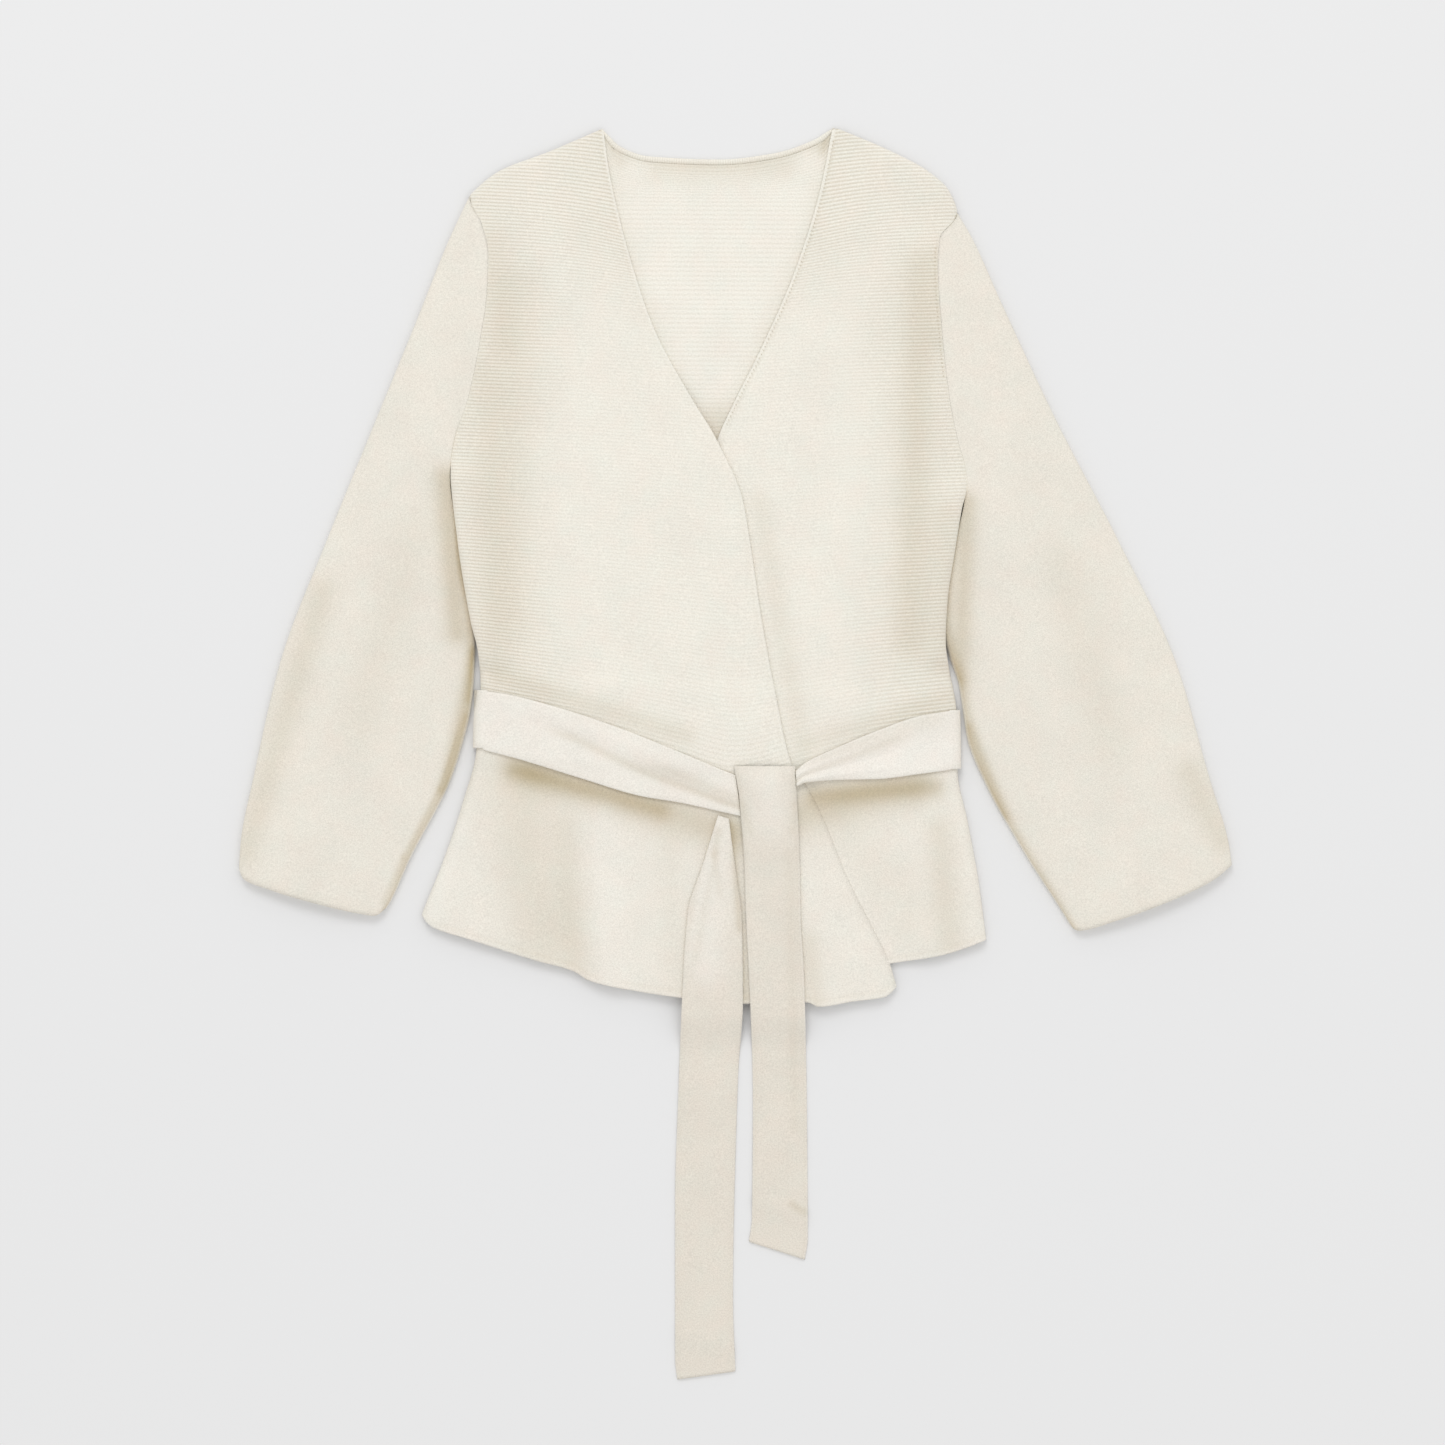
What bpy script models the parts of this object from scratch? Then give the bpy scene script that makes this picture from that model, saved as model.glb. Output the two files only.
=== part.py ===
"""A wrap cardigan laid flat on its back: rib-knit wrap bodice, plain peplum, wide sleeves and a tie belt.

Tables and sizes are in millimetres, +Y runs to the neck and +Z up, and points are made in metres.
The wearer's right is at -X. Every height comes from functions of the place on the floor, so that
each layer lies on the one below it.
"""

import math
from collections import namedtuple

import bmesh
import bpy
import numpy as np

MM = 0.001
WALL = 2.0
BELT_WALL = 2.2
GAP = 0.3
RIM_GAP = 0.45
RIB_PITCH = 2.8
RIB_HEIGHT = 0.45

# How far apart the points of a plain column stand along the body, closer where the form bends.
COARSE_STEP = 24.0
FOLD_STEP = 12.0
COVERED_STEP = 60.0
COVERED_CLOSE_STEP = 9.0
CLOSE_ABOVE_WAIST = 60.0
COVERED_CLOSE = 52.0
SHOULDER_BEND = 396.0
SHOULDER_BEND_LENGTH = 50.0

# Air between the layers, from the back's upper face to a front's lower face.
AIR_TOP = 4.3
AIR_UNDER = 4.0
AIR_EDGE = 0.9
AIR_UNDER_WAIST = 1.9
AIR_OVER_UNDER = 4.0
EDGE_SOFTNESS = 36.0
WAIST_SOFTNESS = 30.0
COVERED_SOFTNESS = 24.0
DECK_SOFTNESS = 22.0
UNDER_INSET = 2.0
V_POINT_Y = 250.4
V_CLIMB_START = 60.0
V_CLIMB_LENGTH = 46.0

# Round side folds of the body, which end where a sleeve is sewn on, and the belt's rise under the back.
SIDE_ROUND = 7.0
SHOULDER_FADE = 10.0
UNDERARM_START = 6.0
UNDERARM_FADE = 12.0
BELT_RISE_START = 4.0
BELT_RISE_LENGTH = 16.0

# Round folds of the sleeves, and the sleeves' inner edges that lie under the body's sides.
SLEEVE_ROUND = 3.2
SLEEVE_EDGE = 6.0
SLEEVE_DOME = 4.6
SLEEVE_SEWN_SHARE = 0.16
SLEEVE_LIFT = 7.4
LIFT_REACH = 28.0
LIFT_FULL = 1.15
LIFT_TOP = 8.0
LIFT_LOW_Y = 60.0
LIFT_FADE = 20.0
ARMHOLE_GAP = 0.8

# The waist, where bodice and peplum meet under the belt.
WAIST_LEVEL = 20.0
TOP_LEVEL = 501.5
SAG_AT_TOP = 0.15
SAG_FADE = 70.0

NECK_BAND = 4.6
NECK_BAND_THICK = 3.4
NECK_BAND_ROWS = 18
NECK_BAND_SIDES = 7
NECK_BAND_SHARES = (0.03, 0.975)
NECK_BAND_TAPER = 0.45
NECK_BAND_TAPER_ROWS = 3.0

# Stations of a front across its width: the turns of its side fold, then shares of the stretch that shows.
FOLD_TURNS = (0.0, 35.0, 65.0, 90.0)
SHOWN_SHARES = (0.34, 0.68)
EDGE_REACH = 5.0
UNDER_LIP = 1.8

# Where the back's columns meet the row through the shoulder ends, from the wearer's right to the left.
BACK_SIDE = (-212.2, -203.0, -190.0)
BACK_COVERED = (-160.0, -130.0, -108.0)
BACK_SHOWN = (-103.0, -89.0, -74.0, -35.0, 10.0, 48.0, 66.0, 75.5)
BACK_COVERED_LEFT = (81.0, 104.0, 130.0)
BACK_SIDE_LEFT = (156.0, 168.5, 177.8)
BACK_NECK_CLEAR = 1.1
BACK_SHOULDER_CLEAR = 1.0
BACK_SHOWN_MARGIN = 4.0

PEPLUM_ROWS = 12
PEPLUM_CELL = 30.0
PEPLUM_CLOSING = 1.25
BACK_PEPLUM_COLUMNS = 8
BACK_PEPLUM_INSET = 0.001

# A sleeve's ring: the turns of its two folds in degrees, and shares across its top and its floor side.
EDGE_TURNS = (-90.0, -35.0, 0.0, 40.0, 90.0)
TOP_SHARES = (0.03, 0.065, 0.12, 0.24, 0.42, 0.62, 0.82, 0.95)
FLOOR_SHARES = (0.75, 0.4, 0.15)
SLEEVE_ROWS = 18

# The belt's turn round the side fold in degrees, after a first point beside it.
WRAP_TURNS = (None, 0.0, 35.0, 65.0)
WRAP_CLEAR = 0.7
BELT_FRONT_ROWS = 14
BELT_SOFT_EDGE = 0.5

Point = namedtuple("Point", "x y")
Fold = namedtuple("Fold", "x0 y0 x1 y1 width height")
Tint = namedtuple("Tint", "red green blue rough")

RIB_KNIT = Tint(0.86, 0.83, 0.76, 0.85)
PLAIN_KNIT = Tint(0.84, 0.80, 0.73, 0.85)
BELT_KNIT = Tint(0.82, 0.77, 0.70, 0.85)

# Body outline from the neck point over shoulder, armhole and side to the waist.
BODY_RIGHT = [
    Point(-105.6, 500.8), Point(-148.8, 482.4), Point(-189.6, 466.4), Point(-209.6, 450.4),
    Point(-212.8, 446.4), Point(-202.4, 422.4), Point(-197.6, 400.0), Point(-198.4, 370.4),
    Point(-204.0, 330.4), Point(-212.0, 290.4), Point(-228.0, 230.4), Point(-222.4, 170.4),
    Point(-212.0, 106.4), Point(-205.6, 78.4), Point(-204.0, 50.4), Point(-206.4, 20.0),
]
BODY_LEFT = [
    Point(78.4, 502.4), Point(125.6, 482.4), Point(155.2, 466.4), Point(172.0, 450.4),
    Point(178.4, 432.8), Point(164.0, 412.0), Point(162.4, 392.8), Point(165.6, 338.4),
    Point(172.0, 282.4), Point(178.4, 250.4), Point(186.4, 216.8), Point(181.6, 194.4),
    Point(176.0, 160.0), Point(170.4, 122.4), Point(168.8, 90.4), Point(177.6, 34.4),
    Point(178.4, 5.0),
]
Corners = namedtuple("Corners", "shoulder_y underarm_y")
RIGHT_CORNERS = Corners(446.4, 230.4)
LEFT_CORNERS = Corners(432.8, 216.8)

# Free edges of the two fronts, from the neck point to the hem. The under front's runs on below the top one.
TOP_EDGE = [
    Point(-105.6, 500.8), Point(-101.6, 470.4), Point(-92.0, 426.4), Point(-78.4, 378.4),
    Point(-64.0, 338.4), Point(-36.0, 286.4), Point(-14.4, 250.4), Point(6.4, 202.4),
    Point(12.0, 170.4), Point(21.6, 106.4), Point(32.0, 50.4), Point(46.4, -12.0),
    Point(57.6, -26.4), Point(94.4, -108.8), Point(124.0, -168.8), Point(129.6, -187.2),
]
UNDER_EDGE = [
    Point(78.4, 502.4), Point(68.0, 450.4), Point(48.0, 386.4), Point(20.0, 322.4),
    Point(-4.0, 274.4), Point(-14.4, 250.4), Point(-45.0, 120.0), Point(-75.2, -12.0),
    Point(-100.0, -90.0), Point(-132.0, -168.0),
]
BACK_NECK = [
    Point(-105.6, 500.8), Point(-92.0, 486.4), Point(-68.0, 478.4), Point(-12.0, 476.0),
    Point(30.4, 480.8), Point(64.0, 492.0), Point(78.4, 502.4),
]
WAIST = [
    Point(-207.0, 27.2), Point(-140.0, 9.6), Point(-92.0, -4.0), Point(-44.0, -20.0),
    Point(0.0, -33.6), Point(49.6, -19.2), Point(115.2, -0.8), Point(178.4, 10.4),
]

# The peplum's sides and hems.
PEPLUM_SIDE_RIGHT = [
    Point(-206.6, 27.0), Point(-207.2, 2.4), Point(-217.6, -37.6), Point(-233.6, -85.6),
    Point(-246.4, -117.6), Point(-251.2, -129.6),
]
PEPLUM_SIDE_LEFT = [
    Point(178.2, 10.4), Point(178.4, -13.6), Point(186.4, -53.6), Point(195.2, -101.6),
    Point(201.6, -149.6),
]
HEM_TOP = [
    Point(-251.2, -129.6), Point(-244.0, -138.4), Point(-211.2, -149.6), Point(-161.6, -165.6),
    Point(-128.0, -175.2), Point(-118.4, -181.6), Point(-76.0, -191.2), Point(-42.4, -196.0),
    Point(8.0, -200.8), Point(56.8, -199.2), Point(67.2, -203.2), Point(92.8, -199.2),
    Point(120.8, -195.2), Point(129.6, -187.2),
]
HEM_UNDER = [
    Point(201.6, -149.6), Point(184.0, -156.4), Point(164.0, -162.4), Point(124.0, -168.8),
]
HEM_BACK = [
    Point(-251.2, -129.6), Point(-211.2, -145.0), Point(-118.4, -174.0), Point(-42.4, -190.0),
    Point(8.0, -194.0), Point(67.2, -190.0), Point(124.0, -163.8), Point(201.6, -149.6),
]

# Each sleeve: its two folded edges from the armhole to the cuff, and the cuff.
SLEEVE_RIGHT_OUTER = [
    Point(-212.8, 446.4), Point(-229.6, 410.4), Point(-255.2, 346.4), Point(-288.0, 266.4),
    Point(-327.2, 170.4), Point(-364.0, 74.4), Point(-386.4, -21.6), Point(-396.0, -69.6),
    Point(-397.6, -92.0),
]
SLEEVE_RIGHT_INNER = [
    Point(-228.0, 230.4), Point(-227.4, 212.0), Point(-221.5, 180.0), Point(-216.8, 145.0),
    Point(-210.2, 112.0), Point(-208.2, 88.0), Point(-209.2, 60.0), Point(-212.0, 34.0),
    Point(-217.6, 10.4), Point(-228.0, -21.6),
    Point(-260.8, -85.6), Point(-275.2, -117.6), Point(-279.2, -124.0),
]
SLEEVE_RIGHT_CUFF = [
    Point(-397.6, -92.0), Point(-393.6, -100.8), Point(-372.0, -109.6), Point(-346.4, -117.6),
    Point(-300.0, -128.8), Point(-288.8, -130.4), Point(-279.2, -124.0),
]
SLEEVE_LEFT_OUTER = [
    Point(178.4, 432.8), Point(191.2, 410.4), Point(212.8, 362.4), Point(257.6, 266.4),
    Point(307.2, 170.4), Point(352.8, 74.4), Point(380.8, -21.6), Point(395.2, -69.6),
    Point(398.4, -89.6),
]
SLEEVE_LEFT_INNER = [
    Point(186.4, 216.8), Point(185.0, 200.0), Point(176.0, 172.0), Point(167.6, 128.0),
    Point(166.6, 103.0), Point(171.0, 80.0), Point(179.0, 56.0), Point(182.6, 34.0),
    Point(186.4, 10.4), Point(199.2, -21.6),
    Point(235.2, -85.6), Point(256.0, -117.6), Point(269.6, -139.2),
]
SLEEVE_LEFT_CUFF = [
    Point(398.4, -89.6), Point(383.2, -101.6), Point(350.4, -117.6), Point(307.2, -133.6),
    Point(274.4, -142.4), Point(269.6, -139.2),
]

# The belt's front stretches by their upper and lower edges, from the side to the knot.
BELT_RIGHT_UPPER = [
    Point(-206.4, 50.4), Point(-180.0, 46.4), Point(-140.0, 36.0), Point(-92.0, 20.0),
    Point(-44.0, 0.8), Point(-1.6, -17.6),
]
BELT_RIGHT_LOWER = [
    Point(-207.2, 4.0), Point(-176.0, -4.0), Point(-124.0, -20.0), Point(-76.0, -34.4),
    Point(-44.0, -40.0), Point(-2.0, -50.4),
]
BELT_LEFT_UPPER = [
    Point(177.6, 34.4), Point(148.0, 29.6), Point(115.2, 18.4), Point(83.2, 4.8),
    Point(57.6, -8.0), Point(50.2, -14.4),
]
BELT_LEFT_LOWER = [
    Point(178.4, -12.8), Point(148.0, -16.8), Point(115.2, -20.8), Point(83.2, -21.6),
    Point(57.6, -23.6), Point(50.2, -27.0),
]
BELT_BACK_Y = [Point(-206.4, 27.2), Point(177.8, 10.8)]
BELT_WIDTH = 46.6
BELT_CLEAR = 0.9
BELT_BUNCH = 1.6
BUNCH_START = 0.4
BUNCH_LENGTH = 0.5
FOLD_SHARE = 0.035
KNOT_BEND_POWER = 6

TAIL_CLEAR = 0.5
KNOT_TOP_Y = -10.4
KNOT_END_Y = -62.0
KNOT_HEIGHT = 12.0
KNOT_TUCK = 1.2
KNOT_EXIT = 5.5
KNOT_RISE_SHARE = 0.3
KNOT_JOIN_LENGTH = 46.0
CROWN_POWER = 0.6

# The tails by their two long edges, from the knot to the end.
TAIL_FRONT_RIGHT_EDGE = [
    Point(-0.8, -10.4), Point(4.0, -44.8), Point(7.2, -85.6), Point(8.8, -132.8),
    Point(12.0, -197.6), Point(14.4, -277.6), Point(13.6, -373.6), Point(11.2, -392.0),
]
TAIL_FRONT_LEFT_EDGE = [
    Point(48.0, -10.4), Point(50.0, -44.8), Point(52.0, -96.0), Point(52.6, -132.8),
    Point(55.2, -177.6), Point(57.6, -277.6), Point(58.4, -389.6), Point(56.0, -406.4),
]
TAIL_BACK_RIGHT_EDGE = [
    Point(-13.6, -49.6), Point(-26.4, -91.2), Point(-37.6, -126.4), Point(-42.4, -197.6),
    Point(-45.6, -277.6), Point(-48.0, -357.6), Point(-48.0, -485.6), Point(-46.4, -502.6),
]
TAIL_BACK_LEFT_EDGE = [
    Point(-4.8, -52.4), Point(-3.2, -65.6), Point(1.6, -100.8), Point(5.6, -132.8),
    Point(6.4, -197.6), Point(2.4, -261.6), Point(-1.6, -437.6), Point(0.4, -496.0),
]
TAIL_DROP_START = -207.0
TAIL_DROP_LENGTH = 34.0
TAIL_HEM_MARGIN = 8.0

# Largest folds: a line on the floor, how wide it is, and how high it rises or sinks.
FOLDS_TOP_FRONT = [
    Fold(-176.0, 372.0, -178.0, 110.0, 20.0, -1.6),
    Fold(-140.0, 412.0, -66.0, 60.0, 38.0, 3.0),
    Fold(-70.0, 330.0, -8.0, 150.0, 18.0, -0.7),
    Fold(-108.0, -50.0, -102.0, -190.0, 13.0, 3.2),
    Fold(-137.0, -50.0, -126.0, -182.0, 13.0, -1.6),
    Fold(-196.0, -40.0, -206.0, -140.0, 15.0, 1.4),
    Fold(-34.0, -62.0, -42.0, -190.0, 20.0, 1.6),
    Fold(34.0, -60.0, 72.0, -196.0, 17.0, 1.8),
]
FOLDS_UNDER_FRONT = [
    Fold(152.0, 430.0, 140.0, 70.0, 13.0, -1.7),
    Fold(92.0, 410.0, 92.0, 40.0, 30.0, 3.0),
    Fold(163.0, 230.0, 160.0, 80.0, 8.0, 0.8),
    Fold(136.0, -40.0, 150.0, -150.0, 12.0, 2.2),
    Fold(165.0, -50.0, 172.0, -150.0, 10.0, -1.4),
    Fold(98.0, -40.0, 128.0, -120.0, 12.0, -0.8),
]
FOLDS_SLEEVE_RIGHT = [
    Fold(-240.0, 360.0, -330.0, -60.0, 26.0, 3.0),
    Fold(-282.0, 250.0, -372.0, -30.0, 16.0, -1.8),
    Fold(-240.0, 180.0, -262.0, -40.0, 18.0, 2.4),
    Fold(-262.0, 120.0, -300.0, -90.0, 15.0, -1.5),
]
FOLDS_SLEEVE_LEFT = [
    Fold(212.0, 330.0, 340.0, -30.0, 24.0, 3.0),
    Fold(232.0, 220.0, 292.0, -60.0, 17.0, -2.0),
    Fold(196.0, 100.0, 262.0, -110.0, 16.0, 2.6),
    Fold(330.0, 90.0, 366.0, -70.0, 13.0, -1.6),
]


def smooth(value):
    """0 below 0, 1 above 1, with no corner between."""
    held = min(max(value, 0.0), 1.0)
    return held * held * (3.0 - 2.0 * held)


def mix(low, high, share):
    return low + (high - low) * share


def evenly(count):
    return [i / count for i in range(count + 1)]


def through(knots, values):
    """A curve with no overshoot through the values at rising knots, straight beyond both ends."""
    steps = np.diff(knots)
    slopes = np.diff(values) / steps
    tangents = np.empty(len(knots))
    tangents[0], tangents[-1] = slopes[0], slopes[-1]
    for i in range(1, len(knots) - 1):
        product = slopes[i - 1] * slopes[i]
        tangents[i] = 2.0 * product / (slopes[i - 1] + slopes[i]) if product > 0 else 0.0

    def at(knot):
        if knot <= knots[0]:
            return values[0] + tangents[0] * (knot - knots[0])
        if knot >= knots[-1]:
            return values[-1] + tangents[-1] * (knot - knots[-1])
        i = int(np.searchsorted(knots, knot, side="right")) - 1
        step = steps[i]
        part = (knot - knots[i]) / step
        rest = 1.0 - part
        return (
            values[i] * rest * rest * (1.0 + 2.0 * part)
            + values[i + 1] * part * part * (3.0 - 2.0 * part)
            + tangents[i] * step * part * rest * rest
            - tangents[i + 1] * step * part * part * rest
        )

    return at


def x_of_y(points):
    """x as a curve of y, for an edge that runs down the garment."""
    rising = points[::-1]
    return through(np.array([p.y for p in rising]), np.array([p.x for p in rising]))


def y_of_x(points):
    """y as a curve of x, for an edge that runs across it."""
    rising = points if points[0].x < points[-1].x else points[::-1]
    return through(np.array([p.x for p in rising]), np.array([p.y for p in rising]))


def path(points):
    """A plan curve from 0 to 1 along its length."""
    xs = np.array([p.x for p in points])
    ys = np.array([p.y for p in points])
    run = np.concatenate([[0.0], np.cumsum(np.hypot(np.diff(xs), np.diff(ys)))])
    x_at, y_at = through(run / run[-1], xs), through(run / run[-1], ys)
    return lambda share: np.array([x_at(share), y_at(share)])


body_right_x = x_of_y(BODY_RIGHT)
body_left_x = x_of_y(BODY_LEFT)
side_right_x = x_of_y(BODY_RIGHT[:-1] + PEPLUM_SIDE_RIGHT)
side_left_x = x_of_y(BODY_LEFT[:-1] + PEPLUM_SIDE_LEFT)
top_edge_x = x_of_y(TOP_EDGE)
under_edge_x = x_of_y(UNDER_EDGE)
waist_y = y_of_x(WAIST)
back_neck_y = y_of_x(BACK_NECK)
belt_back_y = y_of_x(BELT_BACK_Y)
shoulder_right_y = y_of_x(BODY_RIGHT[:5])
shoulder_left_y = y_of_x(BODY_LEFT[:5])
tail_front_right_x = x_of_y(TAIL_FRONT_RIGHT_EDGE)
tail_front_left_x = x_of_y(TAIL_FRONT_LEFT_EDGE)
tail_back_right_x = x_of_y(TAIL_BACK_RIGHT_EDGE)
tail_back_left_x = x_of_y(TAIL_BACK_LEFT_EDGE)


def fold_height(folds, x, y):
    """The sum of soft ridges and troughs along the folds' lines, fading at their ends."""
    total = 0.0
    for fold in folds:
        dx, dy = fold.x1 - fold.x0, fold.y1 - fold.y0
        length = math.hypot(dx, dy)
        along = ((x - fold.x0) * dx + (y - fold.y0) * dy) / length
        aside = ((x - fold.x0) * dy - (y - fold.y0) * dx) / length
        beyond = max(-along, along - length, 0.0)
        reach = (aside * aside + beyond * beyond) / (fold.width * fold.width)
        total += fold.height * math.exp(-reach)
    return total


def row_y(x, level, waist=waist_y):
    """A knitted row: level at the top, and sagging to the waist line at the bottom."""
    share = SAG_AT_TOP + (1.0 - SAG_AT_TOP) * math.exp(-(level - WAIST_LEVEL) / SAG_FADE)
    return level + share * (waist(x) - WAIST_LEVEL)


def meet(edge_x, level, waist=waist_y):
    """Where a knitted row meets an edge."""
    x = edge_x(level)
    for _ in range(9):
        x = mix(x, edge_x(row_y(x, level, waist)), 0.8)
    return x


def back_base(x, y):
    """The back's lower face: on the floor, raised over the belt and over each sleeve's inner edge."""
    beside = abs(y - belt_back_y(x)) - BELT_WIDTH / 2
    rise = (BELT_WALL + GAP) * smooth(1.0 - (beside - BELT_RISE_START) / BELT_RISE_LENGTH)
    for edge_x, side, corners in ((body_right_x, 1, RIGHT_CORNERS), (body_left_x, -1, LEFT_CORNERS)):
        inside = max((x - edge_x(y)) * side, 0.0)
        window = smooth((corners.underarm_y + LIFT_TOP - y) / LIFT_FADE)
        window *= smooth((y - LIFT_LOW_Y) / LIFT_FADE)
        rise = max(rise, SLEEVE_LIFT * window * smooth(LIFT_FULL - inside / LIFT_REACH))
    return rise


def near_waist(x, y):
    return math.exp(-(((y - waist_y(x)) / WAIST_SOFTNESS) ** 2))


def top_front_face(x, y):
    """The lower face of the top front."""
    climb = smooth((V_POINT_Y + V_CLIMB_START - y) / V_CLIMB_LENGTH)
    edge_air = mix(AIR_EDGE, AIR_OVER_UNDER, climb)
    body_air = mix(AIR_TOP + fold_height(FOLDS_TOP_FRONT, x, y), AIR_OVER_UNDER, near_waist(x, y))
    covered = smooth((x - under_edge_x(y)) / COVERED_SOFTNESS + 1.0)
    body_air = max(body_air, covered * (AIR_OVER_UNDER - GAP))
    inside = (top_edge_x(y) - x) / EDGE_SOFTNESS
    return back_base(x, y) + WALL + mix(edge_air, body_air, smooth(inside))


def under_front_face(x, y):
    """The lower face of the under front, which lies low where the top front covers it."""
    body_air = mix(AIR_UNDER + fold_height(FOLDS_UNDER_FRONT, x, y), AIR_UNDER_WAIST, near_waist(x, y))
    inside = (x - max(top_edge_x(y), under_edge_x(y)) - UNDER_INSET) / EDGE_SOFTNESS
    return back_base(x, y) + WALL + mix(AIR_EDGE, body_air, smooth(inside))


def deck(x, y):
    """The uppermost face of the body, which the belt and its tails lie on."""
    over_edge = smooth((top_edge_x(y) + DECK_SOFTNESS - x) / DECK_SOFTNESS)
    low = under_front_face(x, y) + WALL + RIB_HEIGHT
    high = top_front_face(min(x, top_edge_x(y)), y) + WALL + RIB_HEIGHT
    return mix(low, max(high, low), over_edge)


def rolled(corners, y):
    """1 where the body's edge is a fold, 0 where a sleeve is sewn to it."""
    shoulder = smooth((y - corners.shoulder_y + SHOULDER_FADE) / SHOULDER_FADE)
    side = smooth((corners.underarm_y + UNDERARM_START - y) / UNDERARM_FADE)
    return max(shoulder, side)


def join_columns(bm, first, second):
    """Faces between two columns of (key, vertex), whose keys fall from top to bottom."""
    i, j = 0, 0
    while i < len(first) - 1 or j < len(second) - 1:
        more_first = i < len(first) - 1
        more_second = j < len(second) - 1
        if more_first and more_second and abs(first[i + 1][0] - second[j + 1][0]) < 1e-6:
            bm.faces.new((first[i][1], first[i + 1][1], second[j + 1][1], second[j][1]))
            i, j = i + 1, j + 1
        elif more_first and (not more_second or first[i + 1][0] > second[j + 1][0]):
            bm.faces.new((first[i][1], first[i + 1][1], second[j][1]))
            i += 1
        else:
            bm.faces.new((first[i][1], second[j + 1][1], second[j][1]))
            j += 1


def add_columns(bm, columns):
    """Vertices for columns of (key, (x, y, z)) in millimetres."""
    return [[(key, bm.verts.new([c * MM for c in point])) for key, point in column] for column in columns]


def finish_mesh(name, bm, tint):
    bmesh.ops.recalc_face_normals(bm, faces=bm.faces[:])
    mesh = bpy.data.meshes.new(name)
    bm.to_mesh(mesh)
    bm.free()
    made = bpy.data.objects.new(name, mesh)
    bpy.context.scene.collection.objects.link(made)
    material = bpy.data.materials.new(name)
    material.use_nodes = True
    shader = material.node_tree.nodes["Principled BSDF"]
    shader.inputs["Base Color"].default_value = (tint.red, tint.green, tint.blue, 1.0)
    shader.inputs["Roughness"].default_value = tint.rough
    mesh.materials.append(material)
    mesh.shade_smooth()
    mesh.set_sharp_from_angle(angle=math.radians(40.0))
    return made


def close_end(bm, out, ins, pairs, end):
    """The rim between the outer and the inner columns' ends."""
    for j, k in pairs:
        corners = (out[j][end], out[k][end], ins[k][end], ins[j][end])
        bm.faces.new([vertex for _, vertex in corners])


def wall(name, outer, inner, tint):
    """A wall with open edges: outer columns, inner columns, and rims all round."""
    bm = bmesh.new()
    out = add_columns(bm, outer)
    ins = add_columns(bm, inner)
    ring = out + ins[::-1]
    for first, second in zip(ring, ring[1:] + ring[:1]):
        join_columns(bm, first, second)
    pairs = [(j, j + 1) for j in range(len(out) - 1)]
    close_end(bm, out, ins, pairs, 0)
    close_end(bm, out, ins, pairs, -1)
    return finish_mesh(name, bm, tint)


def tube(name, outer, inner, tint):
    """An open tube: rings of columns outside and inside, joined at both ends."""
    bm = bmesh.new()
    out, ins = add_columns(bm, outer), add_columns(bm, inner)
    for ring in (out, ins):
        for first, second in zip(ring, ring[1:] + ring[:1]):
            join_columns(bm, first, second)
    pairs = [(j, (j + 1) % len(out)) for j in range(len(out))]
    close_end(bm, out, ins, pairs, 0)
    close_end(bm, out, ins, pairs, -1)
    return finish_mesh(name, bm, tint)


def rib_levels(bottom, top):
    """Levels of every ridge and groove, from the top down."""
    count = int((top - bottom) / (RIB_PITCH / 2))
    return [bottom + i * RIB_PITCH / 2 for i in range(count, -1, -1)]


def thinned(levels, step_at):
    """Every few levels, both ends kept."""
    kept = [levels[0]]
    for level in levels[1:-1]:
        if kept[-1] - level >= step_at(level):
            kept.append(level)
    return kept + [levels[-1]]


def coarse_step(level):
    return FOLD_STEP if level < WAIST_LEVEL + CLOSE_ABOVE_WAIST else COARSE_STEP


def fold_step(level):
    """Closer together where the armhole bends to the shoulder end."""
    bends = SHOULDER_BEND < level < SHOULDER_BEND + SHOULDER_BEND_LENGTH
    return FOLD_STEP / 2 if bends else FOLD_STEP


def covered_step(level):
    return COVERED_CLOSE_STEP if level < WAIST_LEVEL + COVERED_CLOSE else COVERED_STEP


def rib(level):
    """Rows stand alternately on a ridge and in a groove."""
    return RIB_HEIGHT * (round((level - WAIST_LEVEL - GAP / 2) / (RIB_PITCH / 2)) % 2)


def front_stations(side_x, edge_x, corners, level, under):
    """(x, turn, inner shift) of a front's columns where a knitted row crosses them."""
    start, own = meet(side_x, level), meet(edge_x, level)
    side = 1 if own > start else -1
    shown = own
    if under:
        shown = max(meet(top_edge_x, level), own + UNDER_LIP)
    width = abs(shown - start)
    y = row_y(start, level)
    slope = (side_x(y + 1.0) - side_x(y - 1.0)) / 2.0
    reach = min(SIDE_ROUND * math.hypot(1.0, slope), 0.3 * width)
    fold = rolled(corners, y)
    made = []
    for angle in FOLD_TURNS:
        turn = math.radians(angle)
        inset = GAP / 2 + reach * (1.0 - math.cos(turn))
        made.append((start + side * inset, turn, side * fold * min(WALL, 0.6 * reach) * math.cos(turn)))
    near_edge = min(EDGE_REACH, 0.3 * (width - reach))
    middle = width - reach - near_edge
    insets = [reach + share * middle for share in SHOWN_SHARES] + [width - near_edge, width]
    made += [(start + side * inset, math.pi / 2, 0.0) for inset in insets]
    if under:
        made.append((own, math.pi / 2, 0.0))
    return made, fold


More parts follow.
